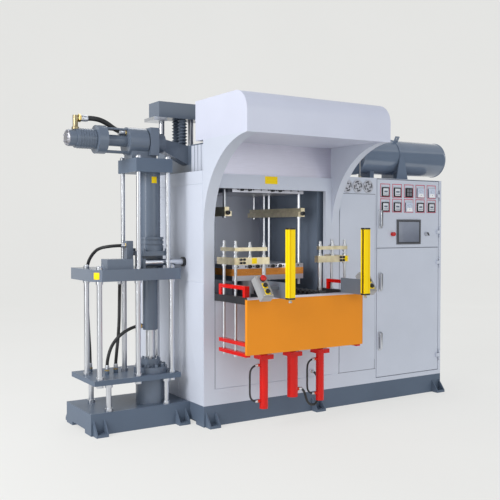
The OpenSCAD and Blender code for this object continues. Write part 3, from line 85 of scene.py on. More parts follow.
class Shade:
    """A value inside a material's node tree; arithmetic on it adds Math nodes."""

    def __init__(self, tree, socket):
        self.tree = tree
        self.socket = socket

    def add(self, kind, inputs, output=0, **settings):
        """Adds a node of any kind, sets its properties, feeds its inputs and gives one output."""
        node = self.tree.nodes.new(kind)
        for name, value in settings.items():
            setattr(node, name, value)
        for key, value in inputs.items():
            if isinstance(value, Shade):
                self.tree.links.new(value.socket, node.inputs[key])
            else:
                node.inputs[key].default_value = value
        return Shade(self.tree, node.outputs[output])

    def math(self, operation, first, second=0.0):
        return self.add("ShaderNodeMath", {0: first, 1: second}, operation=operation)

    def __add__(self, other):
        return self.math("ADD", self, other)

    def __sub__(self, other):
        return self.math("SUBTRACT", self, other)

    def __mul__(self, other):
        return self.math("MULTIPLY", self, other)

    def __rsub__(self, other):
        return self.math("SUBTRACT", other, self)

    __radd__ = __add__
    __rmul__ = __mul__

    def ramp(self, low, high):
        """0 below low, 1 above high and smooth between them."""
        return self.add("ShaderNodeMapRange", {0: self, 1: low, 2: high}, interpolation_type="SMOOTHSTEP")

    def mix(self, first, second):
        """A colour between two colours, with this value as the share of the second."""
        return self.add("ShaderNodeMix", {0: self, 6: first, 7: second}, output=2, data_type="RGBA")


class Finish:
    """One material: its place on the object, its patterns and its principled shader."""

    def __init__(self, name, **constants):
        self.material = bpy.data.materials.new(name)
        self.material.use_nodes = True
        self.tree = self.material.node_tree
        self.shader = self.tree.nodes["Principled BSDF"]
        coordinates = self.tree.nodes.new("ShaderNodeTexCoord")
        self.place = Shade(self.tree, coordinates.outputs["Object"])
        for socket, value in constants.items():
            self.shader.inputs[socket.replace("_", " ")].default_value = value

    def set(self, **values):
        """Feeds varying values into the shader's inputs."""
        for socket, value in values.items():
            self.tree.links.new(value.socket, self.shader.inputs[socket.replace("_", " ")])
        return self

    def noise(self, scale, stretch=(1, 1, 1), detail=3.0):
        """Cloudy pattern from 0 to 1; stretch draws it out along an axis."""
        place = self.place.add("ShaderNodeVectorMath", {0: self.place, 1: stretch}, operation="MULTIPLY")
        return place.add("ShaderNodeTexNoise", {"Vector": place, "Scale": scale, "Detail": detail})

    def axis(self, index):
        """One coordinate of the place."""
        return self.place.add("ShaderNodeSeparateXYZ", {0: self.place}, output=index)

    def bump(self, height, strength, distance):
        """Raises the surface by a height pattern."""
        sockets = {"Height": height, "Strength": strength, "Distance": distance}
        return self.set(Normal=height.add("ShaderNodeBump", sockets))


def paint(name, colour, rough=0.42, peel=0.10, tone=0.05, coat=0.0, shine=0.5):
    """Sprayed paint: fine orange peel over a cloudy tone."""
    finish = Finish(name, Coat_Weight=coat, Coat_Roughness=0.15, Specular_IOR_Level=shine)
    cloud = finish.noise(2.2, detail=4.0)
    fine = finish.noise(420.0, detail=2.0)
    deep = tuple(c * (1 - 2 * tone) for c in colour[:3]) + (1.0,)
    light = tuple(min(1.0, c * (1 + tone)) for c in colour[:3]) + (1.0,)
    base = cloud.ramp(0.30, 0.70).mix(deep, light)
    finish.set(Base_Color=base, Roughness=rough + 0.10 * finish.noise(34.0) - 0.05)
    finish.bump(fine, peel, 0.0006)
    return finish.material


def metal(
    name, colour, rough=0.25, streak=(1, 1, 40), tone=0.10, depth=0.10, scale=14.0, share=1.0, vary=0.16
):
    """Ground or turned metal: fine marks drawn out along the cut, with cloudy tone."""
    finish = Finish(name, Metallic=share)
    marks = finish.noise(scale, stretch=streak, detail=5.0)
    cloud = finish.noise(5.0, detail=3.0)
    deep = tuple(c * (1 - 2 * tone) for c in colour[:3]) + (1.0,)
    base = (0.55 * marks + 0.45 * cloud).ramp(0.30, 0.70).mix(deep, colour)
    finish.set(Base_Color=base, Roughness=rough + vary * (marks + 0.4 * cloud - 0.5))
    finish.bump(marks, depth, 0.0004)
    return finish.material


def chromated(name):
    """Yellow-passivated zinc: straw to violet clouds over fine ground marks."""
    finish = Finish(name, Metallic=1.0)
    cloud = finish.noise(16.0, detail=4.0)
    film = finish.noise(41.0, detail=3.0)
    marks = finish.noise(30.0, stretch=(1, 1, 30), detail=4.0)
    straw = cloud.ramp(0.32, 0.68).mix(srgb(240, 228, 196), srgb(216, 204, 170))
    base = (film.ramp(0.52, 0.74) * 0.55).mix(straw, srgb(226, 204, 192))
    finish.set(Base_Color=base, Roughness=0.34 + 0.14 * marks)
    finish.bump(marks, 0.08, 0.0004)
    return finish.material


def plastic(name, colour, rough=0.38, grain=0.12):
    """Moulded plastic with a fine spark-eroded grain."""
    finish = Finish(name)
    grit = finish.noise(700.0, detail=1.0)
    cloud = finish.noise(6.0)
    deep = tuple(c * 0.9 for c in colour[:3]) + (1.0,)
    finish.set(Base_Color=cloud.ramp(0.3, 0.7).mix(deep, colour), Roughness=rough + 0.1 * grit - 0.05)
    finish.bump(grit, grain, 0.0003)
    return finish.material


def rubber(name):
    """Black hose cover with the faint wrap of its cloth."""
    finish = Finish(name)
    wrap = finish.noise(160.0, stretch=(1, 1, 2.5), detail=2.0)
    cloud = finish.noise(12.0)
    base = cloud.ramp(0.3, 0.7).mix(srgb(20, 21, 23), srgb(44, 45, 48))
    finish.set(Base_Color=base, Roughness=0.48 + 0.2 * wrap)
    finish.bump(wrap, 0.25, 0.0008)
    return finish.material


def board(name, colour):
    """Pressed heat-insulating board: layered fibres with pale flecks."""
    finish = Finish(name)
    layers = finish.noise(18.0, stretch=(1, 1, 26), detail=4.0)
    fleck = finish.noise(120.0, detail=2.0).ramp(0.60, 0.72)
    deep = tuple(c * 0.72 for c in colour[:3]) + (1.0,)
    base = layers.ramp(0.32, 0.70).mix(deep, colour)
    finish.set(Base_Color=(fleck * 0.35).mix(base, srgb(240, 205, 150)), Roughness=0.55 + 0.2 * layers)
    finish.bump(layers, 0.18, 0.0006)
    return finish.material


FINISHES = {
    "base_paint": paint("base_paint", srgb(93, 106, 124), rough=0.34, tone=0.03, shine=0.12),
    "housing_paint": paint("housing_paint", srgb(198, 204, 218), rough=0.44, tone=0.02),
    "hood_paint": paint("hood_paint", srgb(201, 205, 222), rough=0.36, tone=0.015, coat=0.15),
    "stainless": metal(
        "stainless", srgb(208, 206, 219), rough=0.36, streak=(1, 30, 30), scale=9.0, tone=0.05, share=0.7
    ),
    "machine_paint": paint("machine_paint", srgb(98, 109, 125), rough=0.24, tone=0.03, coat=0.2, shine=0.3),
    "insulation": board("insulation", srgb(222, 140, 46)),
    "plate_steel": metal("plate_steel", srgb(190, 190, 198), rough=0.32, streak=(1, 24, 24)),
    "zinc": chromated("zinc"),
    "chrome": metal("chrome", srgb(208, 211, 217), rough=0.28, tone=0.03, depth=0.0, vary=0.03),
    "black_steel": paint("black_steel", srgb(40, 41, 45), rough=0.40, peel=0.12, tone=0.12),
    "orange_paint": paint("orange_paint", srgb(232, 142, 22), rough=0.38, tone=0.02, coat=0.05, shine=0.25),
    "red_paint": paint("red_paint", srgb(212, 20, 12), rough=0.24, tone=0.04, coat=0.25, shine=0.2),
    "arm_paint": paint("arm_paint", srgb(106, 113, 124), rough=0.40),
    "curtain_yellow": paint("curtain_yellow", srgb(252, 216, 0), rough=0.40, tone=0.02, shine=0.2),
    "box_plastic": plastic("box_plastic", srgb(166, 166, 168)),
    "button_plastic": plastic("button_plastic", srgb(200, 30, 26), rough=0.28),
    "grille_plastic": plastic("grille_plastic", srgb(190, 192, 202)),
    "instrument_plastic": plastic("instrument_plastic", srgb(34, 35, 38)),
    "screen_plastic": plastic("screen_plastic", srgb(88, 90, 96)),
    "tank_paint": paint("tank_paint", srgb(110, 124, 144), rough=0.16, peel=0.08, tone=0.04, coat=0.9),
    "hose_rubber": rubber("hose_rubber"),
}


class Skin:
    """Points and faces of a surface, as whole arrays; skins add up to one mesh."""

    def __init__(self, points, blocks):
        self.points = np.asarray(points, float)
        self.blocks = blocks

    def __add__(self, other):
        shifted = [block + len(self.points) for block in other.blocks]
        return Skin(np.vstack([self.points, other.points]), self.blocks + shifted)

    def moved(self, offset):
        return Skin(self.points + np.asarray(offset, float), self.blocks)

    def aimed(self, axis):
        """Turns a skin built along +Z so that it runs along another axis."""
        x, y, z = self.points.T
        turned = {
            "z": (x, y, z),
            "x": (z, x, y),
            "-x": (-z, -x, y),
            "-y": (x, -z, y),
        }
        return Skin(np.stack(turned[axis], axis=-1), self.blocks)

    def facing(self, start, direction):
        """Carries a skin built along +Z to a start point, facing any direction."""
        run = np.asarray(direction, float) / np.linalg.norm(direction)
        helper = np.eye(3)[np.argmin(np.abs(run))]
        side = np.cross(helper, run)
        side = side / np.linalg.norm(side)
        return Skin(self.points @ np.stack([side, np.cross(run, side), run]) + start, self.blocks)

    def repeated(self, places):
        """One copy of the skin at each place."""
        places = np.asarray(places, float).reshape(-1, 3)
        points = (places[:, None] + self.points).reshape(-1, 3)
        shifts = len(self.points) * np.arange(len(places))[:, None, None]
        blocks = [(block + shifts).reshape(-1, block.shape[1]) for block in self.blocks]
        return Skin(points, blocks)


def joined(skins):
    """Several skins as one."""
    return sum(skins[1:], skins[0])


def loft(rings):
    """Closed surface through rings of points: quads between neighbours and a face on each end."""
    rows, around = rings.shape[:2]
    index = np.arange(rows * around).reshape(rows, around)
    low, high = index[:-1], index[1:]
    quads = np.stack([low, np.roll(low, -1, 1), np.roll(high, -1, 1), high], axis=-1).reshape(-1, 4)
    return Skin(rings.reshape(-1, 3), [quads, index[:1, ::-1], index[-1:]])


def turned(profile, sides=32):
    """Solid of revolution about Z: each (radius, height) of the profile becomes a circle of points."""
    profile = np.asarray(profile, float)
    angle = np.arange(sides) * 2 * np.pi / sides
    circle = np.stack([np.cos(angle), np.sin(angle), np.zeros(sides)], axis=-1)
    rings = profile[:, :1, None] * circle + profile[:, 1, None, None] * np.array([0.0, 0.0, 1.0])
    return loft(rings)


def rim(width, depth, radius, steps=5):
    """Rounded rectangle: four quarter circles of the corner radius, as (points, 2)."""
    corner = np.repeat(np.arange(4), steps)
    angle = (corner + np.tile(np.linspace(0, 1, steps), 4)) * np.pi / 2
    sign = np.array([[1, 1], [-1, 1], [-1, -1], [1, -1]])[corner]
    centre = sign * (np.array([width, depth]) / 2 - radius)
    return centre + radius * np.stack([np.cos(angle), np.sin(angle)], axis=-1)


def slab(width, depth, height, radius=0.004, edge=0.0015):
    """Rounded rectangle carried up Z, drawn in along a quarter circle at both ends."""
    turn = np.linspace(0, np.pi / 2, 4)
    inset = edge * (1 - np.sin(turn))
    rise = edge * (1 - np.cos(turn))
    insets = np.concatenate([inset, inset[::-1]])
    heights = np.concatenate([rise, height - rise[::-1]])
    least = 0.0004
    outlines = [rim(width - 2 * d, depth - 2 * d, max(radius - d, least)) for d in insets]
    rings = [np.column_stack([outline, np.full(len(outline), h)]) for outline, h in zip(outlines, heights)]
    return loft(np.array(rings))


def bar(low, high, radius=0.004, edge=0.0015, axis="z"):
    """A slab that fills the box between two corners, carried along one axis."""
    low, high = np.asarray(low, float), np.asarray(high, float)
    size = high - low
    width, depth, height = {"z": size, "-y": size[[0, 2, 1]], "x": size[[1, 2, 0]]}[axis]
    middle = (low + high) / 2
    start = {
        "z": (middle[0], middle[1], low[2]),
        "-y": (middle[0], high[1], middle[2]),
        "x": (low[0], middle[1], middle[2]),
    }
    return slab(width, depth, height, radius, edge).aimed(axis).moved(start[axis])


def spline(points, per=6):
    """Smooth curve through points: a cubic between each pair, whose slopes come from the neighbours."""
    points = np.asarray(points, float)
    slope = np.gradient(points, axis=0)
    t = np.linspace(0, 1, per, endpoint=False)[None, :, None]
    a, b = points[:-1, None], points[1:, None]
    m, n = slope[:-1, None], slope[1:, None]
    curve = (2 * t**3 - 3 * t**2 + 1) * a + (t**3 - 2 * t**2 + t) * m
    curve = curve + (3 * t**2 - 2 * t**3) * b + (t**3 - t**2) * n
    return np.vstack([curve.reshape(-1, 3), points[-1:]])


def tube(path, diameter, across, sides=16):
    """Circle carried along a path, held upright by a direction across it."""
    path = np.asarray(path, float)
    run = np.gradient(path, axis=0)
    run = run / np.linalg.norm(run, axis=1, keepdims=True)
    side = np.cross(np.asarray(across, float), run)
    side = side / np.linalg.norm(side, axis=1, keepdims=True)
    rise = np.cross(run, side)
    angle = np.arange(sides) * 2 * np.pi / sides
    ring = np.cos(angle)[:, None] * side[:, None] + np.sin(angle)[:, None] * rise[:, None]
    return loft(path[:, None] + diameter / 2 * ring)


def piece(name, skin, slot, body="machine", finish=None, stands_for=()):
    """Makes the mesh of a skin, gives it its finish and lets it ride on a body."""
    mesh = bpy.data.meshes.new(name)
    loops = np.concatenate([block.ravel() for block in skin.blocks])
    totals = np.concatenate([np.full(len(block), block.shape[1]) for block in skin.blocks])
    mesh.vertices.add(len(skin.points))
    mesh.vertices.foreach_set("co", skin.points.ravel())
    mesh.loops.add(len(loops))
    mesh.loops.foreach_set("vertex_index", loops)
    mesh.polygons.add(len(totals))
    mesh.polygons.foreach_set("loop_start", np.concatenate([[0], np.cumsum(totals)[:-1]]))
    mesh.update(calc_edges=True)
    mesh.validate()
    mesh.shade_smooth()
    mesh.set_sharp_from_angle(angle=HARD_EDGE)
    mesh.materials.append(finish or FINISHES[slot])
    obj = bpy.data.objects.new(name, mesh)
    bpy.context.scene.collection.objects.link(obj)
    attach(obj, body)
    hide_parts(*stands_for)
    return obj


def aim_camera():
    """Camera at the photographer's place, level but for a small drop."""
    data = bpy.data.cameras.new("camera")
    data.lens = LENS
    data.sensor_width = SENSOR
    camera = bpy.data.objects.new("camera", data)
    camera.location = EYE
    camera.rotation_euler = (math.radians(90 - EYE_DROP), 0.0, math.radians(-EYE_TURN))
    bpy.context.scene.collection.objects.link(camera)
    bpy.context.scene.camera = camera


def add_light(name, place, target, size, power, height=None, colour=(1.0, 1.0, 1.0)):
    """A soft box that faces a target: square, or a strip where its height is given."""
    data = bpy.data.lights.new(name, "AREA")
    data.shape = "RECTANGLE"
    data.size = size
    data.size_y = height or size
    data.energy = power
    data.color = colour
    light = bpy.data.objects.new(name, data)
    light.location = place
    away = np.asarray(place, float) - np.asarray(target, float)
    turn = math.atan2(away[1], away[0]) + math.pi / 2
    tilt = math.acos(away[2] / np.linalg.norm(away))
    light.rotation_euler = (tilt, 0.0, turn)
    bpy.context.scene.collection.objects.link(light)


def light_studio():
    """Even studio: pale sky, a key and a strip from the left, a fill, a rim and a lamp in the press."""
    world = bpy.data.worlds.new("studio")
    world.use_nodes = True
    sky = world.node_tree.nodes["Background"].inputs
    sky["Color"].default_value = (0.92, 0.95, 1.0, 1.0)
    sky["Strength"].default_value = 0.55
    bpy.context.scene.world = world
    add_light("key", (-6.6, -1.4, 4.4), (-0.6, 0.3, 1.1), 3.4, 285.0)
    add_light("strip", (-5.9, -1.2, 1.5), (-1.1, 0.1, 1.4), 0.45, 30.0, height=2.8)
    add_light("fill", (1.8, -6.5, 3.0), (0.4, 0.0, 1.0), 3.6, 50.0, colour=(0.86, 0.93, 1.0))
    add_light("rim", (0.8, 3.4, 5.8), (0.6, 0.2, 1.9), 2.4, 45.0)
    middle = (BOX["crown"][0] + BOX["crown"][1]) / 2
    add_light("press_lamp", (middle[0], -0.10, 1.45), (middle[0] + 0.3, 0.5, 1.3), 0.6, 2.0)
    bpy.context.scene.view_settings.view_transform = "Standard"


def stage(name, points, faces, finish):
    """A part of the studio itself."""
    mesh = bpy.data.meshes.new(name)
    mesh.from_pydata(points.tolist(), [], faces.tolist())
    mesh.shade_smooth()
    mesh.materials.append(finish.material)
    obj = bpy.data.objects.new(name, mesh)
    bpy.context.scene.collection.objects.link(obj)
    return obj


def backdrop():
    """Pale floor that rolls up into a wall all round: a flat, a quarter circle and a rise, turned about Z."""
    reach, roll, height = 12.0, 3.0, 9.0
    angle = np.linspace(np.pi / 2, 0, 24)
    bend = np.column_stack([reach - roll + roll * np.sin(angle), roll - roll * np.cos(angle)])
    skin = turned(np.vstack([[reach, height], bend, [0.01, 0.0]]), 96)
    finish = Finish("backdrop", Roughness=0.9, Specular_IOR_Level=0.1, Emission_Strength=1.0)
    cloud = finish.noise(0.6)
    finish.set(
        Base_Color=cloud.mix(srgb(128, 128, 127), srgb(131, 131, 130)),
        Emission_Color=cloud.mix(srgb(204, 204, 202), srgb(206, 206, 204)),
    )
    stage("backdrop", skin.points, skin.blocks[0], finish)


def dark_flags():
    """Dark cards at both sides of the view, seen in bright metal alone: upright rectangles."""
    turn = math.radians(EYE_TURN)
    across = np.array([math.cos(turn), -math.sin(turn), 0.0])
    along = np.array([math.sin(turn), math.cos(turn), 0.0])
    up = np.array([0.0, 0.0, 1.0])
    half, foot, top, reach = 1.6, 0.1, 4.2, 5.5
    finish = Finish("flag_black", Roughness=0.9)
    cloud = finish.noise(0.6)
    finish.set(Base_Color=cloud.mix(srgb(30, 30, 32), srgb(34, 34, 36)))
    corners = np.array([(-half, foot), (half, foot), (half, top), (-half, top)])
    for name, side in (("left_flag", -reach), ("right_flag", reach)):
        points = side * across + corners[:, :1] * along + corners[:, 1:] * up
        card = stage(name, points, np.array([[0, 1, 2, 3]]), finish)
        card.visible_camera = card.visible_diffuse = card.visible_shadow = False


def dress_nodes():
    """Gives every node of the frame the finish of its slot."""
    for part in frame["record"]["subparts"]:
        mesh = frame["nodes"][part["node"]].data
        mesh.materials.clear()
        mesh.materials.append(FINISHES[part["material_slot"]])


# Hose routes, counted like the frame's own routes and moved to its origin
MOTOR_ROUTE = [
    (-0.794, 0.375, 2.239), (-0.768, 0.375, 2.239), (-0.740, 0.375, 2.241), (-0.710, 0.375, 2.243),
    (-0.680, 0.375, 2.242), (-0.650, 0.375, 2.238), (-0.622, 0.375, 2.230), (-0.596, 0.375, 2.219),
    (-0.572, 0.375, 2.206), (-0.550, 0.375, 2.192), (-0.528, 0.375, 2.180), (-0.506, 0.375, 2.171),
    (-0.485, 0.375, 2.165), (-0.464, 0.375, 2.162), (-0.444, 0.375, 2.162),
]
BARREL_ROUTE = [
    (-0.430, 0.420, 1.330), (-0.470, 0.420, 1.330), (-0.515, 0.428, 1.328), (-0.556, 0.450, 1.323),
    (-0.588, 0.486, 1.314), (-0.604, 0.534, 1.299), (-0.610, 0.586, 1.276), (-0.612, 0.638, 1.247),
    (-0.613, 0.684, 1.212), (-0.614, 0.714, 1.166), (-0.615, 0.728, 1.110), (-0.616, 0.730, 1.048),
    (-0.618, 0.724, 0.986), (-0.620, 0.712, 0.924), (-0.623, 0.697, 0.862), (-0.626, 0.679, 0.800),
    (-0.630, 0.660, 0.738), (-0.634, 0.641, 0.676), (-0.637, 0.624, 0.616), (-0.639, 0.610, 0.556),
    (-0.640, 0.602, 0.496), (-0.640, 0.600, 0.446), (-0.640, 0.600, 0.411),
]
DRAIN_ROUTE = [
    (-0.455, 0.470, 1.080), (-0.455, 0.470, 1.050), (-0.456, 0.470, 1.000), (-0.457, 0.470, 0.950),
    (-0.458, 0.470, 0.900), (-0.459, 0.470, 0.850), (-0.460, 0.470, 0.800), (-0.462, 0.470, 0.750),
    (-0.465, 0.470, 0.700), (-0.469, 0.470, 0.650), (-0.474, 0.470, 0.600), (-0.480, 0.470, 0.550),
    (-0.485, 0.470, 0.500), (-0.489, 0.470, 0.460), (-0.490, 0.470, 0.430), (-0.490, 0.470, 0.411),
]
RAM_ROUTE = [
    (-0.330, 0.375, 0.730), (-0.350, 0.375, 0.730), (-0.375, 0.376, 0.726), (-0.401, 0.379, 0.718),
    (-0.428, 0.384, 0.706), (-0.455, 0.391, 0.690), (-0.480, 0.399, 0.670), (-0.503, 0.408, 0.646),
    (-0.523, 0.417, 0.618), (-0.540, 0.425, 0.586), (-0.553, 0.431, 0.550), (-0.562, 0.436, 0.512),
    (-0.568, 0.439, 0.474), (-0.570, 0.440, 0.440), (-0.570, 0.440, 0.411),
]
CROSS_ROUTE = [
    (0.659, -0.265, 0.260), (0.672, -0.265, 0.260), (0.690, -0.263, 0.255), (0.708, -0.259, 0.243),
    (0.723, -0.253, 0.226), (0.736, -0.246, 0.206), (0.749, -0.238, 0.184), (0.763, -0.229, 0.162),
    (0.779, -0.220, 0.141), (0.798, -0.211, 0.124), (0.820, -0.203, 0.111), (0.844, -0.195, 0.104),
    (0.868, -0.187, 0.103), (0.891, -0.178, 0.109), (0.912, -0.167, 0.122), (0.930, -0.154, 0.141),
    (0.945, -0.142, 0.164), (0.957, -0.130, 0.188), (0.966, -0.118, 0.213), (0.972, -0.106, 0.239),
    (0.976, -0.092, 0.265), (0.979, -0.076, 0.288), (0.980, -0.058, 0.305), (0.980, -0.040, 0.316),
    (0.980, -0.026, 0.320), (0.980, -0.014, 0.320),
]
LIFT_ROUTE = [
    (-0.054, 0, 0.470), (-0.064, 0, 0.470), (-0.080, 0, 0.467), (-0.096, 0, 0.459), (-0.108, 0, 0.447),
    (-0.116, 0, 0.431), (-0.119, 0, 0.412), (-0.120, 0, 0.390), (-0.120, 0, 0.364), (-0.120, 0, 0.338),
    (-0.120, 0, 0.312), (-0.120, 0, 0.288), (-0.119, 0, 0.268), (-0.116, 0, 0.249), (-0.108, 0, 0.233),
    (-0.096, 0, 0.221), (-0.080, 0, 0.213), (-0.064, 0, 0.210), (-0.054, 0, 0.210),
]

# Node, route, offset of the route, diameter, direction across the hose and stiffness
HOSES = [
    ("motor_hose", MOTOR_ROUTE, (0, 0, 0), 0.036, (0, 1, 0), "stiff"),
    ("barrel_hose", BARREL_ROUTE, (0, 0, 0), 0.024, (1, 1, 0), "medium"),
    ("drain_hose", DRAIN_ROUTE, (0, 0, 0), 0.024, (0, 1, 0), "medium"),
    ("ram_hose", RAM_ROUTE, (0, 0, 0), 0.024, (0, 1, 0), "medium"),
    ("cross_hose", CROSS_ROUTE, (0, 0, 0), 0.018, (1, -1, 0.2), "medium"),
    ("left_lift_hose", LIFT_ROUTE, (0.349, -0.265, 0), 0.014, (0, 1, 0), "medium"),
    ("right_lift_hose", LIFT_ROUTE, (0.861, -0.265, 0), 0.014, (0, 1, 0), "medium"),
]


def hose(node, route, offset, diameter, across):
    """One hose: a round tube along its route, which goes from the machine back into the machine."""
    path = spline(spot(*np.transpose(np.array(route) + offset)))
    obj = piece(node + "_tube", tube(path, diameter, across), "hose_rubber", stands_for=[node])
    return path


def hoses():
    """All hoses, with crimped sleeves and hexagon nuts where they meet their ports."""
    sleeves, nuts = [], []
    for node, route, offset, diameter, across, stiffness in HOSES:
        path = hose(node, route, offset, diameter, across)
        sleeve = turned(np.array([
            (0.62, 0.0), (0.66, 0.1), (0.66, 0.5), (0.58, 0.56), (0.66, 0.62), (0.66, 1.2),
            (0.58, 1.26), (0.64, 1.32), (0.58, 1.6),
        ]) * diameter, 28)
        nut = turned(np.array([(0.72, -0.30), (0.80, -0.24), (0.80, 0.16), (0.72, 0.22)]) * diameter, 6)
        for end, beyond in ((path[0], path[4]), (path[-1], path[-5])):
            sleeves.append(sleeve.facing(end, beyond - end))
            nuts.append(nut.facing(end, beyond - end))
    piece("hose_sleeves", joined(sleeves), "zinc", finish=FINISHES["chrome"])
    piece("hose_nuts", joined(nuts), "zinc", finish=metal("brass", srgb(206, 178, 112), rough=0.26))


def hex_bolt(size):
    """Hexagon head on a washer: a six-sided revolve with a chamfered crown over a round one."""
    washer = turned(np.array([(0.98, 0), (0.98, 0.13), (0.90, 0.17)]) * size, 24)
    return washer + turned(np.array([(0.82, 0.15), (0.82, 0.62), (0.70, 0.74), (0.2, 0.76)]) * size, 6)


def socket_bolt(size):
    """Round head with a broken edge and a sunk well: one turned profile."""
    return turned(np.array([(0.75, 0), (0.75, 0.86), (0.66, 1.0), (0.44, 1.0), (0.42, 0.5)]) * size, 24)


def sheets(spans, face, axis, side):
    """Folded sheets on a flat side, 2 mm proud: each span gives its two ranges on the face."""
    proud, joint, corner, edge = 0.002, 0.004, 0.006, 0.0009
    skins = []
    for across, up in spans:
        low, high = np.empty(3), np.empty(3)
        low[1 - axis], high[1 - axis] = across[0] + joint, across[1] - joint
        low[2], high[2] = up[0] + joint, up[1] - joint
        low[axis], high[axis] = sorted((face, face + side * proud))
        skins.append(bar(low, high, corner, edge, "-y" if axis else "x"))
    return joined(skins)


def wall_sheets():
    """Sheets on the left wall, the right end and the rear, with open joints between them."""
    foot, top = BOX["main_base"][1][2], BOX["rear_panel"][1][2]
    front, rear = spot(0, 0.008, 0)[1], BOX["left_arch_panel"][1][1]
    joint, middle_joint, upper_joint = front + 0.382, 1.060, 1.780
    spans = [
        ((front, rear), (upper_joint, top)), ((front, rear), (middle_joint, upper_joint)),
        ((front, joint), (foot, middle_joint)), ((joint, rear), (foot, middle_joint)),
    ]
    left = sheets(spans, BOX["left_arch_panel"][0][0], 0, -1)
    piece("left_wall_sheets", left, "housing_paint")
    low, high = BOX["service_housing"]
    start, middle = BOX["cabinet_shell"][1][1], (BOX["cabinet_shell"][1][1] + high[1]) / 2
    right = sheets([((start, middle), (foot, top)), ((middle, high[1]), (foot, top))], high[0], 0, 1)
    piece("right_end_sheets", right, "housing_paint")
    press_cuts, bay_cuts = np.linspace(BOX["rear_panel"][0][0], low[0], 3), np.linspace(low[0], high[0], 4)
    cuts = np.concatenate([press_cuts, bay_cuts[1:]])
    rear_sheets = sheets([((a, b), (foot, top)) for a, b in zip(cuts, cuts[1:])], high[1], 1, 1)
    piece("rear_sheets", rear_sheets, "housing_paint")


def door_handles():
    """Bright swing handles: a rounded plate, a long grip and its pivot, over the doors' own handles."""
    front = spot(0, 0, 0)[1]
    plate = bar((-0.0175, -0.0086, -0.0785), (0.0175, 0.0, 0.0785), 0.006, 0.002, "-y")
    grip = bar((-0.0115, -0.0268, -0.0635), (0.0115, -0.0118, 0.0735), 0.005, 0.0025, "-y")
    pivot = bar((-0.0115, -0.0160, 0.0365), (0.0115, 0.0, 0.0735), 0.005, 0.0008, "-y")
    lock = turned([(0.0075, 0), (0.0075, 0.0012), (0.0062, 0.0022), (0.0030, 0.0022)], 24).aimed("-y")
    handle = plate + grip + pivot + lock.moved((0, -0.0086, -0.0700))
    inset, cabinet_heights, instrument_heights = 0.034, (0.501, 1.003), (1.536,)
    for door, heights in (("cabinet_door", cabinet_heights), ("instrument_door", instrument_heights)):
        x = BOX[door][0][0] + inset
        piece(door + "_handles", handle.repeated([(x, front, z) for z in heights]), "chrome", door)


def gauge_places():
    """Middle of each instrument's front, the lower row of five first."""
    low, high = BOX["instruments"]
    half, columns = 0.039, 5
    across = np.linspace(low[0] + half, high[0] - half, columns)
    x, z = np.meshgrid(across, (low[2] + half, high[2] - half))
    return np.column_stack([x.ravel(), np.full(x.size, low[1]), z.ravel()])


def instrument_faces():
    """Pale faces with windows and keys, or with a scale and a needle, each in a red outline."""
    places, body, slot = gauge_places(), "instrument_door", "instrument_plastic"
    meters, displays, timer = places[[2, 8, 9]], places[[0, 1, 3, 4, 5, 6]], places[[7]]
    pale = plastic("instrument_face", srgb(222, 226, 234), rough=0.25, grain=0.04)
    face = bar((-0.0305, 0.0008, -0.0305), (0.0305, 0.003, 0.0305), 0.003, 0.0006, "-y")
    piece("instrument_faces", face.repeated(displays), slot, body, pale)
    window = bar((-0.019, -0.0004, -0.004), (0.019, 0.002, 0.010), 0.002, 0.0006, "-y")
    key = bar((-0.0035, -0.0010, -0.022), (0.0035, 0.002, -0.015), 0.001, 0.0006, "-y")
    keys = key.repeated([(x, 0, 0) for x in (-0.018, -0.006, 0.006, 0.018)])
    dim = plastic("instrument_window", srgb(112, 119, 136), rough=0.2, grain=0.04)
    piece("instrument_windows", (window + keys).repeated(displays), slot, body, dim)
    button = bar((-0.013, -0.0014, -0.013), (0.013, 0.003, 0.013), 0.003, 0.001, "-y")
    four = button.repeated([(x, 0, z) for x in (-0.0155, 0.0155) for z in (-0.0155, 0.0155)])
    grey = plastic("timer_keys", srgb(120, 122, 130), rough=0.3, grain=0.05)
    piece("timer_keys", four.repeated(timer), slot, body, grey)
    meter_faces(meters, body, slot)
    wide, tall, line, proud, rise = 0.110, 0.116, 0.006, 0.0007, 0.012
    edge = bar((-wide / 2, -proud, tall / 2 - line), (wide / 2, 0.0, tall / 2), 0.0006, 0.0002, "-y")
    post = bar((wide / 2 - line, -proud, -tall / 2), (wide / 2, 0.0, tall / 2), 0.0006, 0.0002, "-y")
    outline = edge + edge.moved((0, 0, line - tall)) + post + post.moved((line - wide, 0, 0))
    on_door = places * (1, 0, 1) + (0, spot(0, 0, 0)[1], rise)
    red = paint("outline_red", srgb(206, 74, 100), rough=0.5)
    piece("instrument_outlines", outline.repeated(on_door), "red_paint", body, red)
    label = bar((-0.034, -0.0008, 0.031), (0.034, 0.0, 0.048), 0.002, 0.0003, "-y")
    blank = plastic("label_blank", srgb(206, 214, 228), rough=0.3, grain=0.04)
    piece("instrument_labels", label.repeated(on_door), slot, body, blank)


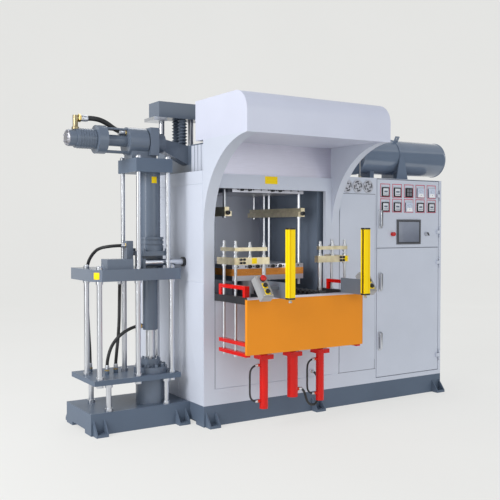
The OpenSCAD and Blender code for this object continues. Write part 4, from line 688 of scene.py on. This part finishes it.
def meter_faces(places, body, slot):
    """Needle meters: a pale blue face over the bezel, a white foot that narrows upwards, ticks on an arc."""
    front, foot_low, foot_high = -0.0022, -0.0375, -0.0055
    face = bar((-0.041, front, -0.0395), (0.041, 0.001, 0.0405), 0.004, 0.001, "-y")
    blue = plastic("meter_face", srgb(204, 213, 233), rough=0.2, grain=0.03)
    piece("meter_faces", face.repeated(places), slot, body, blue)
    foot = bar((-0.036, 2 * front, foot_low), (0.036, front, foot_high), 0.003, 0.0008, "-y")
    taper = 1.0 - 0.3 * (foot.points[:, 2] - foot_low) / (foot_high - foot_low)
    same = np.ones_like(taper)
    foot = Skin(foot.points * np.column_stack([taper, same, same]), foot.blocks)
    white = plastic("meter_foot", srgb(244, 246, 250), rough=0.2, grain=0.03)
    piece("meter_feet", foot.repeated(places), slot, body, white)
    tick = slab(0.0014, 0.0006, 0.005, 0.0002, 0.0001)
    arc, radius, pivot = np.radians(np.linspace(35, 145, 11)), 0.030, (0, front, -0.008)
    runs = np.column_stack([np.cos(arc), 0 * arc, np.sin(arc)])
    scale = [tick.facing(radius * run + pivot, run) for run in runs]
    needle = slab(0.0014, 0.0008, 0.026, 0.0003, 0.0002).facing((0, front, -0.006), (-0.6, 0, 1.0))
    screw = turned([(0.0032, 0), (0.0032, 0.0008), (0.0022, 0.0014), (0.0008, 0.0014)], 16).aimed("-y")
    marks = joined(scale + [needle, screw.moved((0, 2 * front, -0.020))])
    piece("meter_scales", marks.repeated(places), slot, body)


def display_glass():
    """Display glass under a clear coat, with a painted reflection: lighter up its height."""
    finish = Finish("display_glass", Coat_Weight=0.6, Coat_Roughness=0.05)
    # Painted reflection: the glass's colour turns lighter towards the top of the screen
    painted_reflection = finish.axis(2).ramp(1.32, 1.53) * 0.7 + 0.3 * finish.noise(14.0)
    shade = painted_reflection.mix(srgb(106, 112, 128), srgb(150, 157, 172))
    finish.set(Base_Color=shade, Roughness=0.18 + 0.1 * finish.noise(60.0))
    return finish.material


def touch_panel():
    """Display glass with a lip in its bezel, a mushroom button on its left and a selector on its right."""
    low, high = BOX["touch_screen"]
    middle, height = gauge_places()[2][0], (low[2] + high[2]) / 2
    front, body = spot(0, 0, 0)[1], "instrument_door"
    proud, half, frame_w = 0.008, 0.140, 0.016
    wide, tall = 2 * (half - frame_w), high[2] - low[2] - 2 * frame_w
    corner = np.array([wide / 2, 0.0, tall / 2])
    glass_low = np.array([middle, front - proud + 0.0012, height]) - corner
    glass_high = np.array([middle, front - proud + 0.003, height]) + corner
    glass = bar(glass_low, glass_high, 0.003, 0.0006, "-y")
    piece("display_glass", glass, "screen_plastic", body, display_glass())
    lip = rim(wide, tall, 0.004)
    lip = np.vstack([lip, lip[:1]])
    path = np.column_stack([lip[:, 0] + middle, np.full(len(lip), front - proud), lip[:, 1] + height])
    piece("display_lip", tube(path, 0.005, (0, 1, 0), 8), "instrument_plastic", body)
    z = low[2] + 0.088
    head = turned([
        (0.0175, 0), (0.0175, 0.004), (0.0154, 0.006), (0.0154, 0.018), (0.0175, 0.019), (0.0185, 0.024),
        (0.0170, 0.029), (0.011, 0.032), (0.003, 0.033),
    ], 36).aimed("-y")
    piece("stop_button", head.moved((middle - half - 0.050, front, z)), "button_plastic", body)
    knob = turned([
        (0.019, 0), (0.019, 0.005), (0.0165, 0.007), (0.0165, 0.024), (0.0152, 0.027), (0.003, 0.0275),
    ], 36).aimed("-y")
    place = (middle + half + 0.070, front, z)
    pale = plastic("selector_ring", srgb(176, 180, 190), rough=0.3, grain=0.05)
    piece("selector_ring", knob.moved(place), "screen_plastic", body, pale)
    grip = slab(0.010, 0.011, 0.032, 0.004, 0.002).moved((0, 0, -0.016))
    tilted = grip.facing((0, -0.030, 0), (0.6, 0, -0.8))
    piece("selector_grip", tilted.moved(place), "instrument_plastic", body)


def on_boxes(skin, x, z):
    """Lays a skin on the tilted lids of both control boxes, at a place along each lid."""
    tilt, lid = math.radians(-38), -0.031
    left_box, right_box = spot(0.145, -0.560, 1.052), spot(1.065, -0.560, 1.052)
    px, py, pz = (skin.aimed("-y").points + (x, lid, z)).T
    back = py * math.cos(tilt) - pz * math.sin(tilt)
    rise = py * math.sin(tilt) + pz * math.cos(tilt)
    return Skin(np.stack([px, back, rise], axis=-1), skin.blocks).repeated([left_box, right_box])


def control_box_tops():
    """Red mushroom heads, black push buttons on yellow plates and lid screws."""
    head = turned([
        (0.016, 0.004), (0.016, 0.013), (0.020, 0.015), (0.0225, 0.019), (0.0215, 0.025), (0.016, 0.0295),
        (0.006, 0.031), (0.001, 0.0312),
    ], 36)
    collar = turned([(0.0195, 0), (0.0195, 0.004), (0.0170, 0.006), (0.002, 0.006)], 36)
    push = turned([
        (0.0152, 0), (0.0152, 0.010), (0.0162, 0.011), (0.0155, 0.0158), (0.0125, 0.0175), (0.001, 0.0175),
    ], 36)
    plate = slab(0.040, 0.042, 0.0014, 0.003, 0.0005)
    screw = turned([(0.0045, 0), (0.0045, 0.001), (0.0032, 0.002), (0.0014, 0.0014)], 16)
    rows, head_row = (0.0, -0.0499), 0.0516
    piece("mushroom_heads", on_boxes(head, 0, head_row), "button_plastic", stands_for=["control_buttons"])
    blacks = [on_boxes(push, 0, z) for z in rows] + [on_boxes(collar, 0, head_row)]
    piece("push_buttons", joined(blacks), "instrument_plastic")
    piece("button_plates", joined([on_boxes(plate, 0, z) for z in rows]), "curtain_yellow")
    screws = [on_boxes(screw, x, z) for x in (-0.032, 0.032) for z in (-0.075, 0.075)]
    piece("lid_screws", joined(screws), "zinc")


def curtain_lenses():
    """Dark lens strips in the light curtains' slots, black end caps and pale glands below."""
    low, high = BOX["light_curtains"]
    width, depth, lens_half, margin = 0.050, 0.045, 0.0088, 0.010
    y, foot, top = low[1] + depth / 2, spot(0, 0, 0.984)[2], high[2]
    lenses, caps, glands = [], [], []
    cap = slab(width + 0.002, depth + 0.002, 0.012, 0.004, 0.002)
    gland = turned([(0.0095, -0.001), (0.0125, 0.0), (0.0125, 0.010), (0.0100, 0.012), (0.0100, 0.021)], 6)
    for x, inner in ((low[0] + width / 2, 1), (high[0] - width / 2, -1)):
        near, far = sorted((x + inner * (width / 2 - 0.0048), x + inner * (width / 2 - 0.0025)))
        lens_low, lens_high = (near, y - lens_half, foot + margin), (far, y + lens_half, top - margin)
        lenses.append(bar(lens_low, lens_high, 0.001, 0.0006))
        caps += [cap.moved((x, y, top - 0.008)), cap.moved((x, y, foot - 0.004))]
        glands.append(gland.moved((x, y, foot - 0.026)))
    dark = plastic("curtain_lens", srgb(54, 26, 28), rough=0.12, grain=0.02)
    piece("curtain_lenses", joined(lenses), "instrument_plastic", finish=dark)
    piece("curtain_caps", joined(caps), "instrument_plastic")
    piece("curtain_glands", joined(glands), "box_plastic")


def curved_plate(radius, width, height, thick=0.0012):
    """Thin plate round an upright drum: a rectangle of reach and height carried through an angle."""
    angle = np.linspace(-0.5, 0.5, 13)[:, None] * width / radius
    reach = radius + thick * np.array([1.0, 1.0, -1.0, -1.0])
    up = height * np.array([1.0, 0.0, 0.0, 1.0])
    return loft(np.stack([reach * np.sin(angle), -reach * np.cos(angle), up + 0 * angle], axis=-1))


def blank_plates():
    """Blank yellow plates on the lintel, the barrel, the middle plate and the lift bars."""
    lintel = bar((0.536, -0.0012, 1.797), (0.651, 0.0, 1.854), 0.003, 0.0005, "-y").moved(-ORIGIN)
    barrel = curved_plate(0.077, 0.040, 0.047).moved(spot(-0.250, INJECTION_Y, 1.792))
    corner = slab(0.042, 0.048, 0.0012, 0.003, 0.0005).facing(spot(-0.722, 0.250, 1.121), (-1, -1, 0))
    piece("notice_plates", joined([lintel, barrel, corner]), "curtain_yellow")
    for body, x in (("left_lift", 0.254), ("right_lift", 1.090)):
        low, high = (x - 0.021, -0.2882, 1.205), (x + 0.021, -0.287, 1.246)
        piece(body + "_plate", bar(low, high, 0.003, 0.0005, "-y").moved(-ORIGIN), "curtain_yellow", body)


def press_bolts():
    """Bolt heads on the hot plates' fronts and the middle rails' ends, and the table's bright edge."""
    head = socket_bolt(0.018).aimed("-y")
    front = (0, BOX["upper_hot_plate"][0][1], 0)
    upper_z, lower_z = 1.7525, 1.166
    upper = [spot(x, 0, upper_z) * (1, 0, 1) + front for x in (0.360, 0.430, 0.640, 0.710)]
    lower = [spot(x, 0, lower_z) * (1, 0, 1) + front for x in (0.430, 0.500, 0.640, 0.710)]
    piece("upper_plate_bolts", head.repeated(upper), "black_steel")
    piece("lower_plate_bolts", head.repeated(lower), "black_steel", "platen")
    low, high = BOX["middle_rails"]
    rails = [(x, low[1], low[2] + 0.026) for x in (low[0] + 0.024, high[0] - 0.024)]
    piece("middle_rail_bolts", socket_bolt(0.022).aimed("-y").repeated(rails), "black_steel")
    low, high = BOX["front_skirt"]
    edge_low = (low[0], low[1] - 0.003, high[2] - 0.002)
    edge_high = (high[0], high[1] + 0.016, high[2] + 0.015)
    piece("table_edge", bar(edge_low, edge_high, 0.003, 0.002, "x"), "stainless")


def lift_bolts():
    """Socket bolts on the fronts of the lift bars, two by two from the outer ends."""
    head = socket_bolt(0.012).aimed("-y")
    steps, rises = (0.052, 0.080), (0.013, 0.037)
    for side, end, inward in (("left", 0, 1), ("right", 1, -1)):
        box = BOX[side + "_lift_bars"]
        columns = [box[end][0] + inward * step for step in steps]
        places = [(x, box[0][1], box[0][2] + rise) for x in columns for rise in rises]
        piece(side + "_lift_bolts", head.repeated(places), "black_steel", side + "_lift")


def fan_shade_discs():
    """Dark discs behind the slots of the fan grilles, painted shade of the fans' insides, and a rolled rim
    round each.
    """
    low, high = BOX["fan_grilles"]
    radius = (high[2] - low[2]) / 2
    places = [(x, high[1], (low[2] + high[2]) / 2) for x in np.linspace(low[0] + radius, high[0] - radius, 3)]
    well = turned([(radius * 0.97, 0.0002), (radius * 0.97, 0.0012), (radius * 0.1, 0.0014)], 48).aimed("-y")
    # Painted shade: a dark flat disc stands for the shaded hollow behind each grille
    dark = plastic("fan_shade_disc", srgb(84, 86, 92), rough=0.6)
    piece("fan_shade_discs", well.repeated(places), "grille_plastic", finish=dark)
    ring = turned(radius * np.array([(1.10, 0), (1.10, 0.07), (1.06, 0.12), (1.01, 0.10), (1.0, 0.02)]), 64)
    piece("fan_rims", ring.aimed("-y").repeated(places), "grille_plastic")


def bolt_circle(count, radius, middle, start=0.0):
    """Places spread evenly on a circle that faces along X, from a start counted in steps."""
    turn = (np.arange(count) + start) * 2 * np.pi / count
    return radius * np.column_stack([0 * turn, np.cos(turn), np.sin(turn)]) + middle


def tank_beads():
    """Weld beads round the tank and bolts round its flange."""
    low, high = BOX["hydraulic_tank"]
    middle = np.array([0.0, (low[1] + high[1]) / 2, (low[2] + high[2]) / 2])
    lip = (high[2] - low[2]) / 2
    drum = lip - 0.012
    angle = np.arange(9) * 2 * np.pi / 8
    bead = np.column_stack([drum + 0.004 * np.sin(angle), 0.006 * np.cos(angle)])
    seams = [middle + (x, 0, 0) for x in (low[0] + 0.027, high[0] - 0.062)]
    piece("tank_beads", turned(bead[::-1], 72).aimed("x").repeated(seams), "tank_paint")
    ring = bolt_circle(16, lip - 0.008, middle + (low[0], 0, 0))
    piece("tank_flange_bolts", hex_bolt(0.007).aimed("-x").repeated(ring), "tank_paint")


def motor_ribs():
    """Cast ribs round the drive motor, a bright cap with bolts on its end and a brass elbow."""
    end = BOX["drive_motor"][0][0]
    y, z = spot(0, INJECTION_Y, 2.096)[1:]
    radius = 0.069
    inner, outer = radius - 0.001, radius + 0.003
    rib = turned([(inner, 0), (outer, 0.001), (outer, 0.007), (inner, 0.008)], 48).aimed("x")
    ribs = rib.repeated([(x, y, z) for x in np.linspace(end + 0.066, end + 0.180, 7)])
    piece("motor_ribs", ribs, "machine_paint")
    face = 0.013
    cap = turned([
        (0.056, 0), (0.056, 0.010), (0.053, face), (0.030, face), (0.028, 0.017), (0.004, 0.017),
    ], 48)
    piece("motor_cap", cap.aimed("-x").moved((end, y, z)), "plate_steel")
    ring = bolt_circle(6, 0.043, (end - face, y, z), 0.5)
    piece("motor_bolts", hex_bolt(0.009).aimed("-x").repeated(ring), "plate_steel")
    foot, bend = spot(-0.825, INJECTION_Y, 2.158), spot(-0.825, INJECTION_Y, 2.239)
    up = turned([
        (0.026, 0), (0.026, 0.016), (0.0215, 0.018), (0.0188, 0.022),
        (0.0188, 0.088), (0.0186, 0.0995), (0.003, 0.1000),
    ], 28).moved(foot)
    along = turned([(0.0187, 0), (0.0187, 0.024), (0.022, 0.025), (0.022, 0.031)], 28).aimed("x").moved(bend)
    brass = metal("brass_elbow", srgb(170, 158, 126), rough=0.34)
    piece("motor_elbow", up + along, "machine_paint", finish=brass)


def skirt_returns():
    """Folded edges of the orange skirt: a strip that runs back from each end."""
    low, high = BOX["front_skirt"]
    fold, half = 0.030, 0.002
    ends = [(x - half, x + half) for x in (low[0], high[0])]
    strips = [bar((a, low[1], low[2]), (b, low[1] + fold, high[2]), 0.001, 0.001) for a, b in ends]
    piece("skirt_returns", joined(strips), "orange_paint")


def upright_sheets():
    """Ribbed pale sheets on the press frame, where it stands above the left wall."""
    low, high = BOX["press_uprights"]
    foot, top = BOX["rear_panel"][1][2] + 0.004, high[2] - 0.006
    inset, pitch, count = 0.010, 0.052, 4
    cuts = low[1] + inset + pitch * np.arange(count + 1)
    spans = [((a, b), (foot, top)) for a, b in zip(cuts, cuts[1:])]
    piece("upright_sheets", sheets(spans, low[0], 0, -1), "housing_paint")


def nozzle_ring():
    """Black seal round the nozzle where it enters the wall."""
    y, z = spot(0, 0.300, 1.205)[1:]
    wall = BOX["left_arch_panel"][0][0] - 0.002
    ring = turned([(0.026, 0), (0.036, 0.001), (0.036, 0.018), (0.033, 0.021), (0.026, 0.021)], 36)
    piece("nozzle_ring", ring.aimed("-x").moved((wall, y, z)), "black_steel")


def level_tube():
    """Pale level tube in front of the tank's left end, with a nut at each end."""
    tube_skin = turned([(0.006, 0), (0.006, 0.165), (0.004, 0.167)], 20)
    nut = turned([(0.011, 0), (0.012, 0.002), (0.012, 0.014), (0.011, 0.016)], 6)
    foot = spot(1.556, 0.090, 0) * (1, 1, 0) + (0, 0, BOX["service_housing"][1][2])
    piece("level_tube", tube_skin.moved(foot), "box_plastic")
    piece("level_tube_nuts", nut.repeated([foot, foot + (0, 0, 0.150)]), "zinc")


def panel_joints():
    """Joint lines: thin strips round the bay's cover down to its kick strip, and up the press's stile."""
    low, high = spot(1.266, 0, 0.275), spot(1.644, 0, 1.740)
    stile = spot(0.094, 0, 0.920)
    width, proud = 0.005, 0.0008
    strips = [
        ((spot(1.252, 0, 0)[0], low[2] - width), (spot(1.658, 0, 0)[0], low[2])),
        ((low[0] - width, high[2]), (high[0] + width, high[2] + width)),
        ((low[0] - width, low[2]), (low[0], high[2])),
        ((high[0], low[2]), (high[0] + width, high[2])),
        ((stile[0] - width / 2, low[2]), (stile[0] + width / 2, stile[2])),
    ]
    skins = [bar((a[0], low[1] - proud, a[1]), (b[0], low[1], b[1]), 0.0005, 0.0003, "-y") for a, b in strips]
    grey = paint("joint_grey", srgb(122, 127, 140), rough=0.6)
    piece("panel_joints", joined(skins), "housing_paint", finish=grey)


def header_corners():
    """Corner strips that close the joints between header sheet and arches: a slim bar at each end."""
    low, high = BOX["header_panel"]
    front, back = spot(0, 0.003, 0)[1], high[1] + 0.001
    foot, top = low[2] + 0.002, high[2] - 0.002
    lap, reach = 0.0015, 0.0035
    ends = [(low[0] - reach, low[0] + lap), (high[0] - lap, high[0] + reach)]
    strips = [bar((a, front, foot), (b, back, top), 0.001, 0.0006) for a, b in ends]
    piece("header_corners", joined(strips), "housing_paint")


aim_camera()
hoses()
wall_sheets()
door_handles()
instrument_faces()
touch_panel()
control_box_tops()
curtain_lenses()
blank_plates()
press_bolts()
lift_bolts()
fan_shade_discs()
tank_beads()
motor_ribs()
skirt_returns()
upright_sheets()
nozzle_ring()
level_tube()
panel_joints()
header_corners()
dress_nodes()
light_studio()
backdrop()
dark_flags()
